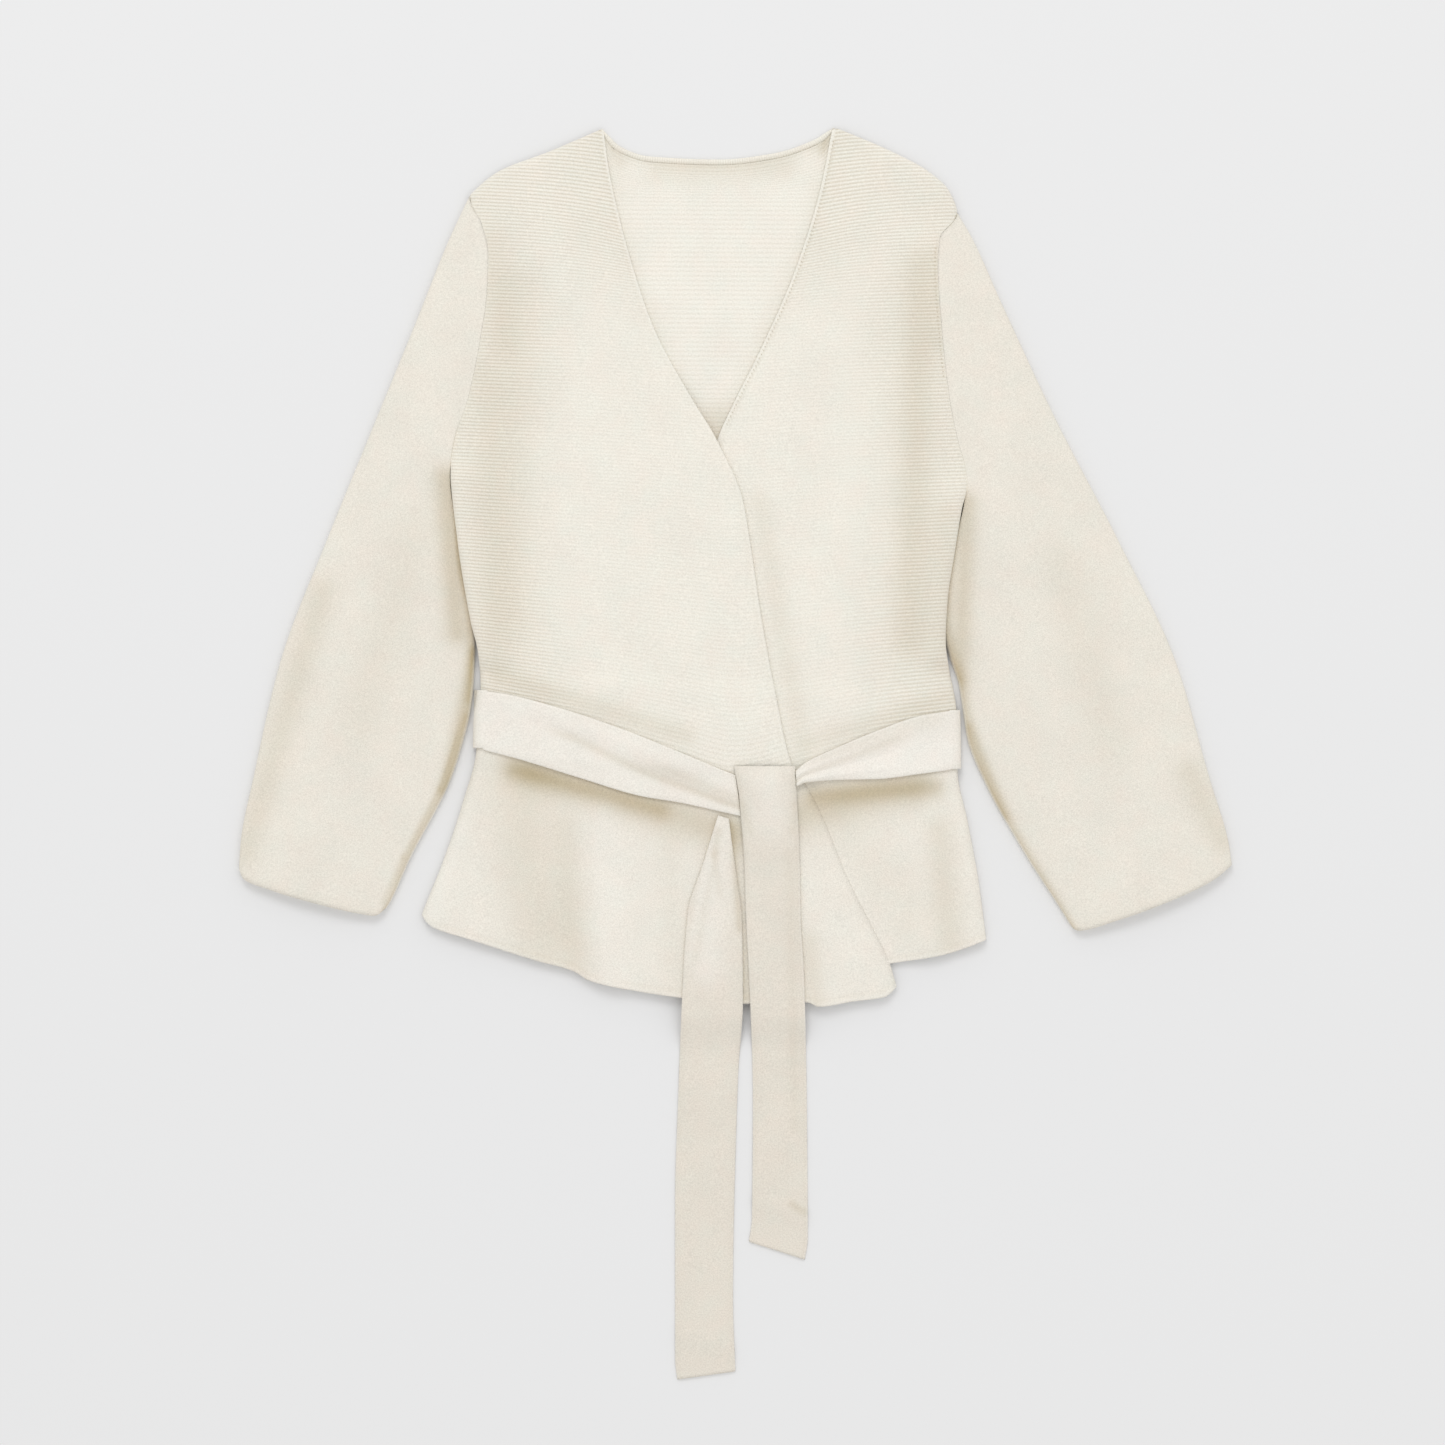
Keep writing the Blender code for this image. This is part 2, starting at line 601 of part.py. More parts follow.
def bodice_front(name, side_x, edge_x, corners, face, under):
    """A front: rolled round the side fold, ribbed where it shows, plain inside."""
    fine = rib_levels(WAIST_LEVEL + GAP / 2, TOP_LEVEL)
    coarse = thinned(fine, coarse_step)
    folded = thinned(fine, fold_step)
    stations = {level: front_stations(side_x, edge_x, corners, level, under) for level in fine}
    count = len(stations[fine[0]][0])
    first_ribbed = len(FOLD_TURNS) - 1
    last_ribbed = count - 3 if under else count - 2

    def point(level, number, inside):
        made, fold = stations[level]
        x, turn, shift = made[number]
        x += shift if inside else 0.0
        y = row_y(x, level)
        low = face(x, y)
        height = low if inside else low + WALL
        rim = back_base(x, y) + WALL + RIM_GAP
        return x, y, mix(height, mix(rim, height, math.sin(turn)), fold)

    outer, inner = [], []
    for number in range(count):
        ribbed = first_ribbed <= number <= last_ribbed
        column = []
        plain = folded if number < first_ribbed or number >= count - 2 else coarse
        for level in fine if ribbed else plain:
            x, y, z = point(level, number, False)
            column.append((level, (x, y, z + (rib(level) if ribbed else 0.0))))
        outer.append(column)
        inner.append([(level, point(level, number, True)) for level in plain])
    return wall(name, outer, inner, RIB_KNIT)


def back_top_y(x):
    """The back's upper edge: the shoulders, and the neck below its band."""
    if x < BACK_NECK[0].x:
        return shoulder_right_y(x) - BACK_SHOULDER_CLEAR
    if x > BACK_NECK[-1].x:
        return shoulder_left_y(x) - BACK_SHOULDER_CLEAR
    slope = (back_neck_y(x + 1.0) - back_neck_y(x - 1.0)) / 2.0
    return back_neck_y(x) - (NECK_BAND + BACK_NECK_CLEAR) * math.hypot(1.0, slope)


def make_back():
    """The back lies flat. Its upper face is ribbed where it shows in the neck opening."""
    right_end, left_end = BODY_RIGHT[4], BODY_LEFT[4]
    fine = rib_levels(WAIST_LEVEL + GAP / 2, TOP_LEVEL)
    sparse = thinned(fine, covered_step)
    close = thinned(fine, fold_step)
    starts = BACK_SIDE + BACK_COVERED + BACK_SHOWN + BACK_COVERED_LEFT + BACK_SIDE_LEFT

    def column_x(start, level):
        """Columns stand between the two side edges, and straight up above the shoulder ends."""
        share = (start - right_end.x) / (left_end.x - right_end.x)
        right = meet(body_right_x, min(level, right_end.y), belt_back_y) + GAP
        left = meet(body_left_x, min(level, left_end.y), belt_back_y) - GAP
        return mix(right, left, share)

    def shows(x, y):
        from_right = x - top_edge_x(y) + BACK_SHOWN_MARGIN
        from_left = under_edge_x(y) - x + BACK_SHOWN_MARGIN
        return min(from_right, from_left, y - V_POINT_Y) > 0.0

    outer, inner = [], []
    for start in starts:
        plain = close if start in BACK_SIDE + BACK_SIDE_LEFT else sparse
        x = column_x(start, TOP_LEVEL)
        top = back_top_y(x)
        above = TOP_LEVEL + RIB_PITCH
        upper = [(above, (x, top, back_base(x, top) + WALL))]
        lower = [(above, (x, top, back_base(x, top)))]
        for level in fine:
            x = column_x(start, level)
            y = row_y(x, level, belt_back_y)
            if y > top - RIB_PITCH / 2:
                continue
            base = back_base(x, y)
            if start in BACK_SHOWN and shows(x, y):
                upper.append((level, (x, y, base + WALL + rib(level))))
            elif level in plain:
                upper.append((level, (x, y, base + WALL)))
            if level in plain:
                lower.append((level, (x, y, base)))
        outer.append(upper)
        inner.append(lower)
    return wall("back", outer, inner, RIB_KNIT)


def make_neck_band():
    """A doubled band along the back neck, as a small rounded roll."""
    run = path(BACK_NECK)
    columns = []
    for side in range(NECK_BAND_SIDES):
        angle = 2.0 * math.pi * side / NECK_BAND_SIDES
        column = []
        for row in range(NECK_BAND_ROWS + 1):
            share = mix(*NECK_BAND_SHARES, row / NECK_BAND_ROWS)
            along = run(min(share + 0.01, 1.0)) - run(max(share - 0.01, 0.0))
            along = along / np.linalg.norm(along)
            out = np.array([-along[1], along[0]])
            taper = smooth(min(row, NECK_BAND_ROWS - row) / NECK_BAND_TAPER_ROWS)
            half = NECK_BAND / 2 * mix(NECK_BAND_TAPER, 1.0, taper)
            spot = run(share) - out * (NECK_BAND / 2) + out * half * math.cos(angle)
            z = NECK_BAND_THICK / 2 * (1.0 + math.sin(angle))
            column.append((-share, (spot[0], spot[1], z)))
        columns.append(column)
    bm = bmesh.new()
    ring = add_columns(bm, columns)
    for first, second in zip(ring, ring[1:] + ring[:1]):
        join_columns(bm, first, second)
    for end in (0, -1):
        bm.faces.new([column[end][1] for column in ring])
    return finish_mesh("neck_band", bm, RIB_KNIT)


def patch(side_run, edge_run, waist, hem_run):
    """A plan between a side, an edge, the waist and a hem; across runs from the side to the edge."""

    def plan(across, down):
        x = mix(side_run(0.0)[0], edge_run(0.0)[0], across)
        top = np.array([x, waist(x) - GAP / 2])
        corners_top = mix(side_run(0.0), edge_run(0.0), across)
        corners_low = mix(side_run(1.0), edge_run(1.0), across)
        across_part = mix(side_run(down), edge_run(down), across)
        down_part = mix(top, hem_run(across), down)
        return across_part + down_part - mix(corners_top, corners_low, down)

    return plan


def below(points, y):
    """An edge's points under a height."""
    return [p for p in points if p.y < y - UNDER_INSET]


def front_peplum(name, side_x, side_points, edge_x, corners, hem_points, face, under):
    """A front's peplum: its columns go on from the bodice's, so that both meet at the waist."""
    made, _ = front_stations(side_x, edge_x, corners, WAIST_LEVEL, under)
    start, shown = meet(side_x, WAIST_LEVEL), made[-2 if under else -1][0]
    side_run = path([Point(start, waist_y(start))] + side_points[1:])
    shown_points = below(TOP_EDGE, waist_y(shown))
    if under:
        shown_points = shown_points[:-1]
    edge_run = path([Point(shown, waist_y(shown))] + shown_points)
    hem_run = path(hem_points)
    order = sorted((x, waist_y(x)) for x, _, _ in made)
    stations_x, stations_y = [x for x, _ in order], [y for _, y in order]
    plan = patch(side_run, edge_run, lambda x: np.interp(x, stations_x, stations_y), hem_run)
    filled = made[: len(FOLD_TURNS)]
    for (here, _, _), (beyond, turn, _) in zip(made[len(FOLD_TURNS) - 1 :], made[len(FOLD_TURNS) :]):
        cells = max(1, round(abs(beyond - here) / PEPLUM_CELL))
        filled += [(mix(here, beyond, cell / cells), turn, 0.0) for cell in range(1, cells + 1)]
    own = made[-1][0]
    hidden_cells = max(1, round(abs(own - shown) / PEPLUM_CELL))
    own_run = path([Point(own, waist_y(own))] + below(UNDER_EDGE, waist_y(own)))

    outer, inner = [], []
    for number, (x_waist, turn, shift) in enumerate(filled):
        columns = ([], [])
        for row in range(PEPLUM_ROWS + 1):
            down = (row / PEPLUM_ROWS) ** PEPLUM_CLOSING
            width = abs(plan(1.0, down)[0] - plan(0.0, down)[0])
            for inside, column in enumerate(columns):
                inset = abs(x_waist - start)
                if number < len(FOLD_TURNS):
                    across = (inset + (abs(shift) if inside else 0.0)) / width
                else:
                    across = inset / abs(shown - start)
                hidden = number - (len(filled) - 1 - hidden_cells)
                if under and hidden > 0:
                    spot = mix(plan(1.0, down), own_run(down), hidden / hidden_cells)
                    x, y = spot[0], spot[1] - GAP / 2 * (1.0 - down) * (hidden == hidden_cells)
                else:
                    x, y = plan(across, down)
                low = face(x, y)
                height = low if inside else low + WALL
                rim = back_base(x, y) + WALL + RIM_GAP
                column.append((-down, (x, y, mix(rim, height, math.sin(turn)))))
        outer.append(columns[0])
        inner.append(columns[1])
    return wall(name, outer, inner, PLAIN_KNIT)


def back_peplum():
    """The back's plain lower part, flat on the floor but for the belt under it."""
    right = meet(body_right_x, WAIST_LEVEL, belt_back_y)
    left = meet(body_left_x, WAIST_LEVEL, belt_back_y)
    side_run = path([Point(right, belt_back_y(right))] + PEPLUM_SIDE_RIGHT[1:])
    edge_run = path([Point(left, belt_back_y(left))] + PEPLUM_SIDE_LEFT[1:])
    plan = patch(side_run, edge_run, belt_back_y, path(HEM_BACK))
    outer, inner = [], []
    for across in evenly(BACK_PEPLUM_COLUMNS):
        columns = ([], [])
        for row in range(PEPLUM_ROWS + 1):
            down = (row / PEPLUM_ROWS) ** PEPLUM_CLOSING
            x, y = plan(mix(BACK_PEPLUM_INSET, 1.0 - BACK_PEPLUM_INSET, across), down)
            for rise, column in zip((WALL, 0.0), columns):
                column.append((-down, (x, y, back_base(x, y) + rise)))
        outer.append(columns[0])
        inner.append(columns[1])
    return wall("peplum_back", outer, inner, PLAIN_KNIT)


def sleeve(name, outer_points, inner_points, cuff_points, armhole_x, corners, body_face, folds):
    """A wide open tube, flat on the floor, from the armhole seam to the cuff."""
    outer_run, inner_run, cuff_run = path(outer_points), path(inner_points), path(cuff_points)
    side = -1 if outer_points[-1].x < 0 else 1

    def plan(across, down):
        y = mix(corners.shoulder_y, corners.underarm_y, across)
        chord = mix(outer_run(0.0), inner_run(0.0), across)
        armhole = np.array([armhole_x(y), y]) - chord
        cuff = cuff_run(across) - mix(outer_run(1.0), inner_run(1.0), across)
        spot = mix(outer_run(down), inner_run(down**1.5), across)
        spot = spot + armhole * (1.0 - down) ** 4 + cuff * down**6
        spot[0] += side * ARMHOLE_GAP * (1.0 - down)
        return spot

    def height(across, down, x, y):
        dome = (4.0 * across * (1.0 - across)) ** 0.8
        free = SLEEVE_EDGE + dome * (SLEEVE_DOME + fold_height(folds, x, y))
        sewn = mix(SLEEVE_EDGE, body_face(x, y) + WALL, smooth(dome * 2.5))
        return mix(sewn, free, smooth(down / SLEEVE_SEWN_SHARE))

    def share_of_mm(end, down):
        """One millimetre square to the folded edge, as a share of the row."""
        here, beyond = plan(end, down), plan(end, down + (0.01 if down < 0.5 else -0.01))
        row, edge = plan(1.0, down) - plan(0.0, down), beyond - here
        length = np.linalg.norm(row)
        cross = abs(row[0] * edge[1] - row[1] * edge[0]) / (length * np.linalg.norm(edge))
        return 1.0 / (max(cross, 0.5) * length)

    def ring_point(kind, value, down, inside):
        thin = WALL if inside else 0.0
        if kind == "top":
            x, y = plan(value, down)
            return x, y, height(value, down, x, y) - thin
        if kind == "floor":
            x, y = plan(value, down)
            return x, y, thin
        turn = math.radians(value)
        end = 0.0 if kind == "outer fold" else 1.0
        share = share_of_mm(end, down)
        inset = share * (thin + (SLEEVE_ROUND - thin) * (1.0 - math.cos(turn)))
        x, y = plan(abs(end - inset), down)
        level = abs(end - share * SLEEVE_ROUND)
        half = height(level, down, *plan(level, down)) / 2.0
        return x, y, half + (half - thin) * math.sin(turn)

    stations = (
        [("outer fold", angle) for angle in EDGE_TURNS]
        + [("top", share) for share in TOP_SHARES]
        + [("inner fold", angle) for angle in EDGE_TURNS[::-1]]
        + [("floor", share) for share in FLOOR_SHARES]
    )
    downs = evenly(SLEEVE_ROWS)
    outer, inner = [], []
    for kind, value in stations:
        outer.append([(-down, ring_point(kind, value, down, False)) for down in downs])
        inner.append([(-down, ring_point(kind, value, down, True)) for down in downs[::2]])
    return tube(name, outer, inner, PLAIN_KNIT)


def ribbon(name, plan, low_face, downs, acrosses, thick):
    """A strip of belt: its lower face given, its upper face a thickness above, lower at both edges."""
    outer, inner = [], []
    last = len(acrosses) - 1
    for number, across in enumerate(acrosses):
        soft = BELT_SOFT_EDGE if number in (0, last) else 0.0
        columns = ([], [])
        for share in downs:
            x, y = plan(across, share)
            z = low_face(x, y, across)
            columns[0].append((-share, (x, y, z + thick(y, across) - soft)))
            columns[1].append((-share, (x, y, z)))
        outer.append(columns[0])
        inner.append(columns[1])
    return wall(name, outer, inner, BELT_KNIT)


def plain_thickness(y, across):
    return BELT_WALL


def belt_front(name, upper_points, lower_points, side_x, knot_x, side, acrosses, bunch):
    """A front stretch: it rises round the side fold, and runs over the body to the knot."""
    upper_run, lower_run = path(upper_points), path(lower_points)
    wraps = len(WRAP_TURNS)
    turns = [math.radians(angle or 0.0) for angle in WRAP_TURNS] + [math.pi / 2] * (BELT_FRONT_ROWS + 1)
    downs = [0.0] * wraps + [mix(FOLD_SHARE, 1.0, share) for share in evenly(BELT_FRONT_ROWS)]

    def plan(across, share):
        return mix(upper_run(share), lower_run(share), across)

    outer, inner = [], []
    for number, across in enumerate(acrosses):
        soft = BELT_SOFT_EDGE if number in (0, len(acrosses) - 1) else 0.0
        wave = 0.5 + 0.5 * math.cos(across * 4.0 * math.pi)
        columns = ([], [])
        for step, (turn, share) in enumerate(zip(turns, downs)):
            for inside, column in enumerate(columns):
                thick = 0.0 if inside else BELT_WALL - soft
                x, y = plan(across, share)
                if step < wraps:
                    inset = SIDE_ROUND * (1.0 - math.cos(turn)) - (WRAP_CLEAR + thick) * math.cos(turn)
                    x = side_x(y) + side * inset
                else:
                    x += (knot_x(y) - side * GAP - plan(across, 1.0)[0]) * share**KNOT_BEND_POWER
                pleat = bunch * wave * smooth((share - BUNCH_START) / BUNCH_LENGTH)
                full = deck(x, y) + BELT_CLEAR + thick + pleat
                rim = BELT_WALL + GAP + (WALL + GAP if step else 0.0)
                column.append((-step, (x, y, mix(rim, full, math.sin(turn)))))
        outer.append(columns[0])
        inner.append(columns[1])
    return wall(name, outer, inner, BELT_KNIT)


def make_belt_back():
    """The stretch that passes under the back, and meets the front stretches at both sides."""
    start, end = BELT_BACK_Y
    reach = BELT_WALL + WRAP_CLEAR

    def plan(across, share):
        x = mix(start.x - reach, end.x + reach, share)
        return x, belt_back_y(x) + mix(BELT_WIDTH / 2, -BELT_WIDTH / 2, across)

    def low(x, y, across):
        return 0.0

    return ribbon("belt_back", plan, low, evenly(6), evenly(2), plain_thickness)


def tail_floor(x, y):
    """The body's upper face, then a soft drop to the floor beyond the hem."""
    held = smooth((y - TAIL_DROP_START + TAIL_DROP_LENGTH) / TAIL_DROP_LENGTH)
    return (deck(x, max(y, TAIL_DROP_START + TAIL_HEM_MARGIN)) + TAIL_CLEAR) * held


def crown(across):
    """How a strip that stands up in an arch comes down at its two edges."""
    return math.sin(math.pi * across) ** CROWN_POWER


def knot_rise(y):
    """The knot's height over the layer under it, from its top down to the tail."""
    run = (KNOT_TOP_Y - y) / (KNOT_TOP_Y - KNOT_END_Y)
    if run < KNOT_RISE_SHARE:
        return mix(KNOT_TUCK, KNOT_HEIGHT, math.sin(math.pi / 2 * run / KNOT_RISE_SHARE))
    return mix(KNOT_HEIGHT, KNOT_EXIT, smooth((run - KNOT_RISE_SHARE) / (1.0 - KNOT_RISE_SHARE)))


def strip_plan(right_x, left_x, top_ys, low_ys):
    """A strip between two edges given by y; each end runs between two heights."""

    def plan(across, share):
        y = mix(mix(top_ys[0], top_ys[1], across), mix(low_ys[0], low_ys[1], across), share)
        return mix(right_x(y), left_x(y), across), y

    return plan


def make_knot():
    """The knot is the belt folded over itself, so it is thicker than one layer."""

    def low(x, y, across):
        return deck(x, y) + TAIL_CLEAR

    def thick(y, across):
        return BELT_WALL + knot_rise(y) * crown(across)

    ends = (KNOT_TOP_Y, KNOT_TOP_Y), (KNOT_END_Y, KNOT_END_Y)
    plan = strip_plan(tail_front_right_x, tail_front_left_x, *ends)
    return ribbon("belt_knot", plan, low, evenly(10), evenly(7), thick)


def make_tail_front():
    """The tail that comes over the knot, down over the peplum's hem and on along the floor."""

    def low(x, y, across):
        join = smooth(1.0 - (KNOT_END_Y - y) / KNOT_JOIN_LENGTH)
        return tail_floor(x, y) + KNOT_EXIT * crown(across) * join

    top = KNOT_END_Y - GAP
    ends = (TAIL_FRONT_RIGHT_EDGE[-1].y, TAIL_FRONT_LEFT_EDGE[-1].y)
    plan = strip_plan(tail_front_right_x, tail_front_left_x, (top, top), ends)
    return ribbon("belt_tail_front", plan, low, evenly(26), evenly(5), plain_thickness)


def make_tail_back():
    """The tail that leaves below the wearer's right stretch."""

    def low(x, y, across):
        return tail_floor(x, y)

    tops = (TAIL_BACK_RIGHT_EDGE[0].y, TAIL_BACK_LEFT_EDGE[0].y)
    ends = (TAIL_BACK_RIGHT_EDGE[-1].y, TAIL_BACK_LEFT_EDGE[-1].y)
    plan = strip_plan(tail_back_right_x, tail_back_left_x, tops, ends)
    return ribbon("belt_tail_back", plan, low, evenly(30), evenly(4), plain_thickness)


def main():
    for old in list(bpy.data.objects):
        bpy.data.objects.remove(old, do_unlink=True)
    make_back()
    make_neck_band()
    bodice_front("front_right", body_right_x, top_edge_x, RIGHT_CORNERS, top_front_face, False)
    bodice_front("front_left", body_left_x, under_edge_x, LEFT_CORNERS, under_front_face, True)
    front_peplum(
        "peplum_front_right", body_right_x, PEPLUM_SIDE_RIGHT, top_edge_x, RIGHT_CORNERS, HEM_TOP,
        top_front_face, False,
    )
    front_peplum(
        "peplum_front_left", body_left_x, PEPLUM_SIDE_LEFT, under_edge_x, LEFT_CORNERS, HEM_UNDER,
        under_front_face, True,
    )
    back_peplum()
    sleeve(
        "sleeve_right", SLEEVE_RIGHT_OUTER, SLEEVE_RIGHT_INNER, SLEEVE_RIGHT_CUFF, body_right_x,
        RIGHT_CORNERS, top_front_face, FOLDS_SLEEVE_RIGHT,
    )
    sleeve(
        "sleeve_left", SLEEVE_LEFT_OUTER, SLEEVE_LEFT_INNER, SLEEVE_LEFT_CUFF, body_left_x,
        LEFT_CORNERS, under_front_face, FOLDS_SLEEVE_LEFT,
    )
    belt_front(
        "belt_front_right", BELT_RIGHT_UPPER, BELT_RIGHT_LOWER, side_right_x, tail_front_right_x, 1,
        evenly(5), 0.0,
    )
    belt_front(
        "belt_front_left", BELT_LEFT_UPPER, BELT_LEFT_LOWER, side_left_x, tail_front_left_x, -1,
        evenly(8), BELT_BUNCH,
    )
    make_belt_back()
    make_knot()
    make_tail_front()
    make_tail_back()


main()
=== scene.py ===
"""A wrap cardigan laid flat: rib-knit bodice, plain peplum, wide sleeves and a tie belt.

Each piece is a thin wall of cloth on the form of its solid. Tables and sizes are in millimetres, and
grids of points run in rows down a piece and in columns across it.
"""

import math
from collections import namedtuple

import bpy
import numpy as np
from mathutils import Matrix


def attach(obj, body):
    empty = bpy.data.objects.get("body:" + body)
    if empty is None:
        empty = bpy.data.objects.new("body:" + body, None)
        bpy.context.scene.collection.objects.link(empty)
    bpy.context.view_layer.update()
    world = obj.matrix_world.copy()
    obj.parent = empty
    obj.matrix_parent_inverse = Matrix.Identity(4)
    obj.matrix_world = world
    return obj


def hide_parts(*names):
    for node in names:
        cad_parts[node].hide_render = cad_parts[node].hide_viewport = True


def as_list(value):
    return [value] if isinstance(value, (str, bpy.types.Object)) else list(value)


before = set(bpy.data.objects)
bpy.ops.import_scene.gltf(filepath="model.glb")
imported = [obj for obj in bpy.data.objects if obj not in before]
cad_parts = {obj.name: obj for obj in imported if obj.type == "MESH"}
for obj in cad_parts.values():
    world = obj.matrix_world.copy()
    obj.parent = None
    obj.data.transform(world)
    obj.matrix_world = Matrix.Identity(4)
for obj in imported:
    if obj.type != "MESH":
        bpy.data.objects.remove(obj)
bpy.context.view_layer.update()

MM = 0.001
WALL = 2.0
BELT_WALL = 2.2
GAP = 0.3
RIB_PITCH = 2.8
RIB_HEIGHT = 0.45

# Air between the layers, from the back's upper face to a front's lower face.
AIR_TOP = 4.3
AIR_UNDER = 4.0
AIR_EDGE = 0.9
AIR_UNDER_WAIST = 1.9
AIR_OVER_UNDER = 4.0
EDGE_SOFTNESS = 36.0
WAIST_SOFTNESS = 30.0
COVERED_SOFTNESS = 24.0
DECK_SOFTNESS = 22.0
UNDER_INSET = 2.0
V_POINT_Y = 250.4
V_CLIMB_START = 60.0
V_CLIMB_LENGTH = 46.0

# Round side folds of the body, which end where a sleeve is sewn on, and the belt's rise under the back.
SIDE_ROUND = 7.0
SIDE_TURNS = 7
SHOULDER_FADE = 10.0
UNDERARM_START = 6.0
UNDERARM_FADE = 12.0
BELT_RISE_START = 4.0
BELT_RISE_LENGTH = 16.0
SEAM_GAP = 0.03

# Round folds of the sleeves, and the sleeves' inner edges that lie under the body's sides.
SLEEVE_ROUND = 3.2
SLEEVE_EDGE = 6.0
SLEEVE_DOME = 4.6
SLEEVE_SEWN_SHARE = 0.16
SLEEVE_ROWS = 150
SLEEVE_TURNS = 13
SLEEVE_TOP_COLUMNS = 60
SLEEVE_FLOOR_COLUMNS = 14
SLEEVE_LIFT = 7.4
LIFT_REACH = 28.0
LIFT_FULL = 1.15
LIFT_TOP = 8.0
LIFT_LOW_Y = 60.0
LIFT_FADE = 20.0

# The waist, where bodice and peplum meet under the belt.
WAIST_LEVEL = 20.0
TOP_LEVEL = 501.5
SAG_AT_TOP = 0.15
SAG_FADE = 70.0

NECK_BAND = 4.6
NECK_BAND_THICK = 3.4
NECK_BAND_RIBS = 640.0

# Points of an outline are (x, y).
# Body outline from the neck point over shoulder, armhole and side to the waist.
BODY_RIGHT = [
    (-105.6, 500.8), (-148.8, 482.4), (-189.6, 466.4), (-209.6, 450.4), (-212.8, 446.4), (-202.4, 422.4),
    (-197.6, 400), (-198.4, 370.4), (-204, 330.4), (-212, 290.4), (-228, 230.4), (-222.4, 170.4),
    (-212, 106.4), (-205.6, 78.4), (-204, 50.4), (-206.4, 20),
]
BODY_LEFT = [
    (78.4, 502.4), (125.6, 482.4), (155.2, 466.4), (172, 450.4), (178.4, 432.8), (164, 412), (162.4, 392.8),
    (165.6, 338.4), (172, 282.4), (178.4, 250.4), (186.4, 216.8), (181.6, 194.4), (176, 160),
    (170.4, 122.4), (168.8, 90.4), (177.6, 34.4), (178.4, 5),
]
Corners = namedtuple("Corners", "shoulder_y underarm_y")
RIGHT_CORNERS = Corners(446.4, 230.4)
LEFT_CORNERS = Corners(432.8, 216.8)

# Free edges of the two fronts, from the neck point to the hem. The under front's runs on below the top one.
TOP_EDGE = [
    (-105.6, 500.8), (-101.6, 470.4), (-92, 426.4), (-78.4, 378.4), (-64, 338.4), (-36, 286.4),
    (-14.4, 250.4), (6.4, 202.4), (12, 170.4), (21.6, 106.4), (32, 50.4), (46.4, -12), (57.6, -26.4),
    (94.4, -108.8), (124, -168.8), (129.6, -187.2),
]
UNDER_EDGE = [
    (78.4, 502.4), (68, 450.4), (48, 386.4), (20, 322.4), (-4, 274.4), (-14.4, 250.4), (-45, 120),
    (-75.2, -12), (-100, -90), (-132, -168),
]
BACK_NECK = [
    (-105.6, 500.8), (-92, 486.4), (-68, 478.4), (-12, 476), (30.4, 480.8), (64, 492), (78.4, 502.4),
]
WAIST = [
    (-207, 27.2), (-140, 9.6), (-92, -4), (-44, -20), (0, -33.6), (49.6, -19.2), (115.2, -0.8),
    (178.4, 10.4),
]

# The peplum's sides and hems.
PEPLUM_SIDE_RIGHT = [
    (-206.6, 27), (-207.2, 2.4), (-217.6, -37.6), (-233.6, -85.6), (-246.4, -117.6), (-251.2, -129.6),
]
PEPLUM_SIDE_LEFT = [
    (178.2, 10.4), (178.4, -13.6), (186.4, -53.6), (195.2, -101.6), (201.6, -149.6),
]
HEM_TOP = [
    (-251.2, -129.6), (-244, -138.4), (-211.2, -149.6), (-161.6, -165.6), (-128, -175.2), (-118.4, -181.6),
    (-76, -191.2), (-42.4, -196), (8, -200.8), (56.8, -199.2), (67.2, -203.2), (92.8, -199.2),
    (120.8, -195.2), (129.6, -187.2),
]
HEM_UNDER = [
    (201.6, -149.6), (184, -156.4), (164, -162.4), (124, -168.8),
]
HEM_BACK = [
    (-251.2, -129.6), (-211.2, -145), (-118.4, -174), (-42.4, -190), (8, -194), (67.2, -190), (124, -163.8),
    (201.6, -149.6),
]

# Each sleeve: its two folded edges from the armhole to the cuff, and the cuff.
SLEEVE_RIGHT_OUTER = [
    (-212.8, 446.4), (-229.6, 410.4), (-255.2, 346.4), (-288, 266.4), (-327.2, 170.4), (-364, 74.4),
    (-386.4, -21.6), (-396, -69.6), (-397.6, -92),
]
SLEEVE_RIGHT_INNER = [
    (-228, 230.4), (-227.4, 212), (-221.5, 180), (-216.8, 145), (-210.2, 112), (-208.2, 88), (-209.2, 60),
    (-212, 34), (-217.6, 10.4), (-228, -21.6), (-260.8, -85.6), (-275.2, -117.6), (-279.2, -124),
]
SLEEVE_RIGHT_CUFF = [
    (-397.6, -92), (-393.6, -100.8), (-372, -109.6), (-346.4, -117.6), (-300, -128.8), (-288.8, -130.4),
    (-279.2, -124),
]
SLEEVE_LEFT_OUTER = [
    (178.4, 432.8), (191.2, 410.4), (212.8, 362.4), (257.6, 266.4), (307.2, 170.4), (352.8, 74.4),
    (380.8, -21.6), (395.2, -69.6), (398.4, -89.6),
]
SLEEVE_LEFT_INNER = [
    (186.4, 216.8), (185, 200), (176, 172), (167.6, 128), (166.6, 103), (171, 80), (179, 56), (182.6, 34),
    (186.4, 10.4), (199.2, -21.6), (235.2, -85.6), (256, -117.6), (269.6, -139.2),
]
SLEEVE_LEFT_CUFF = [
    (398.4, -89.6), (383.2, -101.6), (350.4, -117.6), (307.2, -133.6), (274.4, -142.4), (269.6, -139.2),
]

